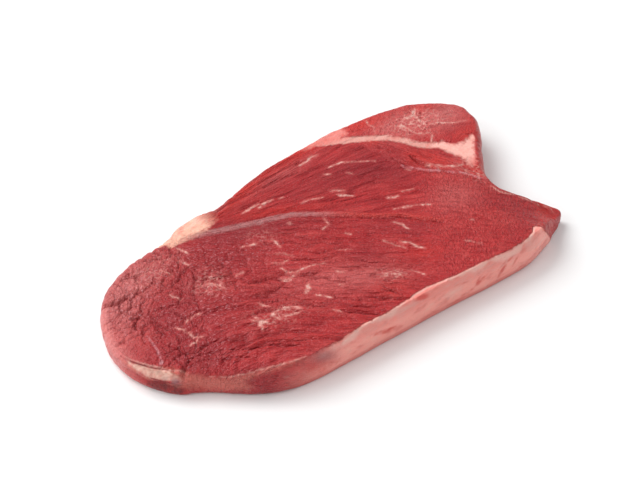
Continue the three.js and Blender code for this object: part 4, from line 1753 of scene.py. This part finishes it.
        colour = self.lay(graph, made, colour, (
            Coat("fatness", "fat tone"),
            Coat("film", self.film, 0.55, (-2.6, 3.4), 2.2),
            # painted shade in the hollow under the skin
            Coat("hollow", self.hollow_shade, "worn", (-1.6, 2.0), 2.2),
            Coat("skin", self.silver, "worn", (-1.2, 1.6), 1.4),
            Coat("flap", self.film, 0.7, (-0.8, 0.8), 0.9),
            # the pale rim of the left end with its painted highlight
            Coat("pale_rim_and_highlight", self.pale_and_highlight, 0.6, (-1.8, 2.2), 1.0),
            Coat("thread", self.white_fat, 0.35, (-0.8, 0.4), 0.6),
            # painted shadow in the gaps under the folds
            Coat("gap_shadow", self.crease, 0.85, (-0.5, 0.4), 0.4),
            # painted purple-grey shade
            Coat("grey", self.shade_grey),
        ))  # fmt: skip
        skin = graph.add("MapRange", ("skin", -1.0, 1.4), **SMOOTH)
        return colour, graph.add("Math", (made["fatness"], skin), operation="MAXIMUM")

    @staticmethod
    def fatness(graph: Graph, made: dict[str, Any]) -> Any:
        """How much of the surface is fat: its field, with ragged borders and thin places.

        The borders are more ragged and softer on the pads and the corner fat, by the field
        "lace". Where the field "veil" is high, the fat thins out between its pale veins.

        Args:
            graph: The material's nodes.
            made: Noises and the like by name.

        Returns:
            The share from 0 to 1.
        """
        lace = graph.add("Attribute", out="Fac", attribute_name="lace")
        ragged = graph.add("Math", (lace, 1.1, 0.8), operation="MULTIPLY_ADD")
        depth = graph.add("Math", (made["rag_mm"], ragged, "fat"), operation="MULTIPLY_ADD")
        low = graph.add("Math", (lace, -1.9, -0.45), operation="MULTIPLY_ADD")
        high = graph.add("Math", (lace, 1.5, 0.5), operation="MULTIPLY_ADD")
        share = graph.add("MapRange", (depth, low, high), **SMOOTH)
        thin = graph.add("MapRange", (made["veins"], -0.2, 0.45), **SMOOTH)
        thin = graph.add("Math", ("veil", thin), operation="MULTIPLY")
        left = graph.add("Math", (1.0, thin), operation="SUBTRACT")
        return graph.add("Math", (share, left), operation="MULTIPLY")

    @staticmethod
    def surface(graph: Graph, made: dict[str, Any], colour: Any, fatness: Any) -> Any:
        """The shader: fine fibre relief, moist gloss and light passing under the surface.

        Args:
            graph: The material's nodes.
            made: Noises and the like by name.
            colour: Base colour.
            fatness: How much of the surface is smooth fat or skin.

        Returns:
            The shader output.
        """
        lean = graph.add("Math", (made["fine"], 0.9, made["coarse"]), operation="MULTIPLY_ADD")
        lean = graph.add("Math", (made["grit"], 0.5, lean), operation="MULTIPLY_ADD")
        lean = graph.add("Math", (made["wrinkle"], -0.42, lean), operation="MULTIPLY_ADD")
        height = graph.add("Mix", {0: fatness, 2: lean, 3: made["smooth"]}, data_type="FLOAT")
        normal = graph.add("Bump", {"Strength": 0.85, "Distance": 0.0016, "Height": height})
        rough = graph.add("MapRange", (made["fine"], 0.3, 0.7, 0.27, 0.42))
        return graph.add("BsdfPrincipled", {
            "Base Color": colour,
            "Roughness": rough,
            "IOR": 1.38,
            "Specular IOR Level": 0.4,
            "Subsurface Weight": 0.12,
            "Subsurface Radius": (1.0, 0.35, 0.25),
            "Subsurface Scale": 0.0016,
            "Coat Weight": 0.06,
            "Coat Roughness": 0.22,
            "Normal": normal,
        })  # fmt: skip


@dataclass(frozen=True)
class PaleFloor:
    """Plain matt white floor."""

    colour: str = "#f4f4f4"
    cloud: Speckle = Speckle((50, 50, 50))

    def build(self) -> bpy.types.Material:
        """Make the material: even white with a trace of grain in the roughness."""
        material = bpy.data.materials.new("matt white floor")
        material.use_nodes = True
        graph = Graph(material.node_tree)
        graph.tree.nodes.clear()
        position = graph.add("TexCoord", out="Object")
        cloud = self.cloud.lay_out(graph, position)
        rough = graph.add("MapRange", (cloud, 0.0, 1.0, 0.85, 0.95))
        inputs = {"Base Color": self.colour, "Roughness": rough, "Specular IOR Level": 0.2}
        graph.add("OutputMaterial", {"Surface": graph.add("BsdfPrincipled", inputs)}, out=None)
        return material


# ---------------------------------------------------------------- floor, light and camera


@dataclass(frozen=True)
class SoftBox:
    """A square lamp aimed at the middle of the slab."""

    name: str
    toward: tuple[float, float]
    up: float
    away: float
    side: float
    power: float

    def build(self) -> bpy.types.Object:
        """Make the lamp at its bearing and height above the horizon, and aim it."""
        data = bpy.data.lights.new(self.name, "AREA")
        data.shape = "SQUARE"
        data.size = self.side
        data.energy = self.power
        lamp = bpy.data.objects.new(self.name, data)
        flat = Vector((*self.toward, 0)).normalized() * math.cos(math.radians(self.up))
        lamp.location = (flat + Vector((0, 0, math.sin(math.radians(self.up))))) * self.away
        lamp.rotation_euler = (-lamp.location).to_track_quat("-Z", "Y").to_euler()
        bpy.context.scene.collection.objects.link(lamp)
        return lamp


@dataclass(frozen=True)
class Studio:
    """White floor, soft lamps, white surroundings and the camera."""

    floor_side: float = 6.0
    surround: float = 0.36
    boxes: tuple[SoftBox, ...] = (
        SoftBox("key lamp", (-0.35, 0.94), 50.0, 1.5, 1.0, 17.6),
        SoftBox("left lamp", (-1.0, 0.15), 38.0, 1.2, 0.7, 5.0),
        SoftBox("front lamp", (-0.5, -0.85), 36.0, 1.7, 1.4, 4.0),
        SoftBox("right lamp", (0.95, -0.1), 38.0, 1.4, 0.9, 4.0),
    )
    stands: tuple[float, float, float] = (-0.35377, -0.47324, 0.54534)
    looks_at: tuple[float, float, float] = (0.00651, 0.01362, 0.0)
    lens: float = 85.0

    def build(self) -> None:
        """Make everything that isn't the slab."""
        scene = bpy.context.scene
        half = self.floor_side / 2
        mesh = bpy.data.meshes.new("floor")
        corners = [(-half, -half, 0), (half, -half, 0), (half, half, 0), (-half, half, 0)]
        mesh.from_pydata(corners, [], [(0, 1, 2, 3)])
        mesh.materials.append(PaleFloor().build())
        floor = bpy.data.objects.new("floor", mesh)
        scene.collection.objects.link(floor)
        for box in self.boxes:
            box.build()

        world = bpy.data.worlds.new("white surroundings")
        world.use_nodes = True
        sky = world.node_tree.nodes["Background"].inputs
        sky["Color"].default_value = (1, 1, 1, 1)
        sky["Strength"].default_value = self.surround
        scene.world = world

        data = bpy.data.cameras.new("camera")
        data.lens = self.lens
        camera = bpy.data.objects.new("camera", data)
        camera.location = self.stands
        aim = Vector(self.looks_at) - camera.location
        camera.rotation_euler = aim.to_track_quat("-Z", "Y").to_euler()
        scene.collection.objects.link(camera)
        scene.camera = camera
        scene.view_settings.view_transform = "Standard"


def main() -> None:
    """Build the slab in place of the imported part's node, then the studio round it."""
    logging.basicConfig(level=logging.INFO, format="%(name)s: %(message)s")
    steak = Slab().build()
    steak.data.materials.append(RawBeef().build())
    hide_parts("steak")
    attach(steak, "root")
    mesh = steak.data
    mesh.calc_loop_triangles()
    LOG.info("slab: %d points, %d triangles", len(mesh.vertices), len(mesh.loop_triangles))
    Studio().build()


if __name__ == "__main__":
    main()
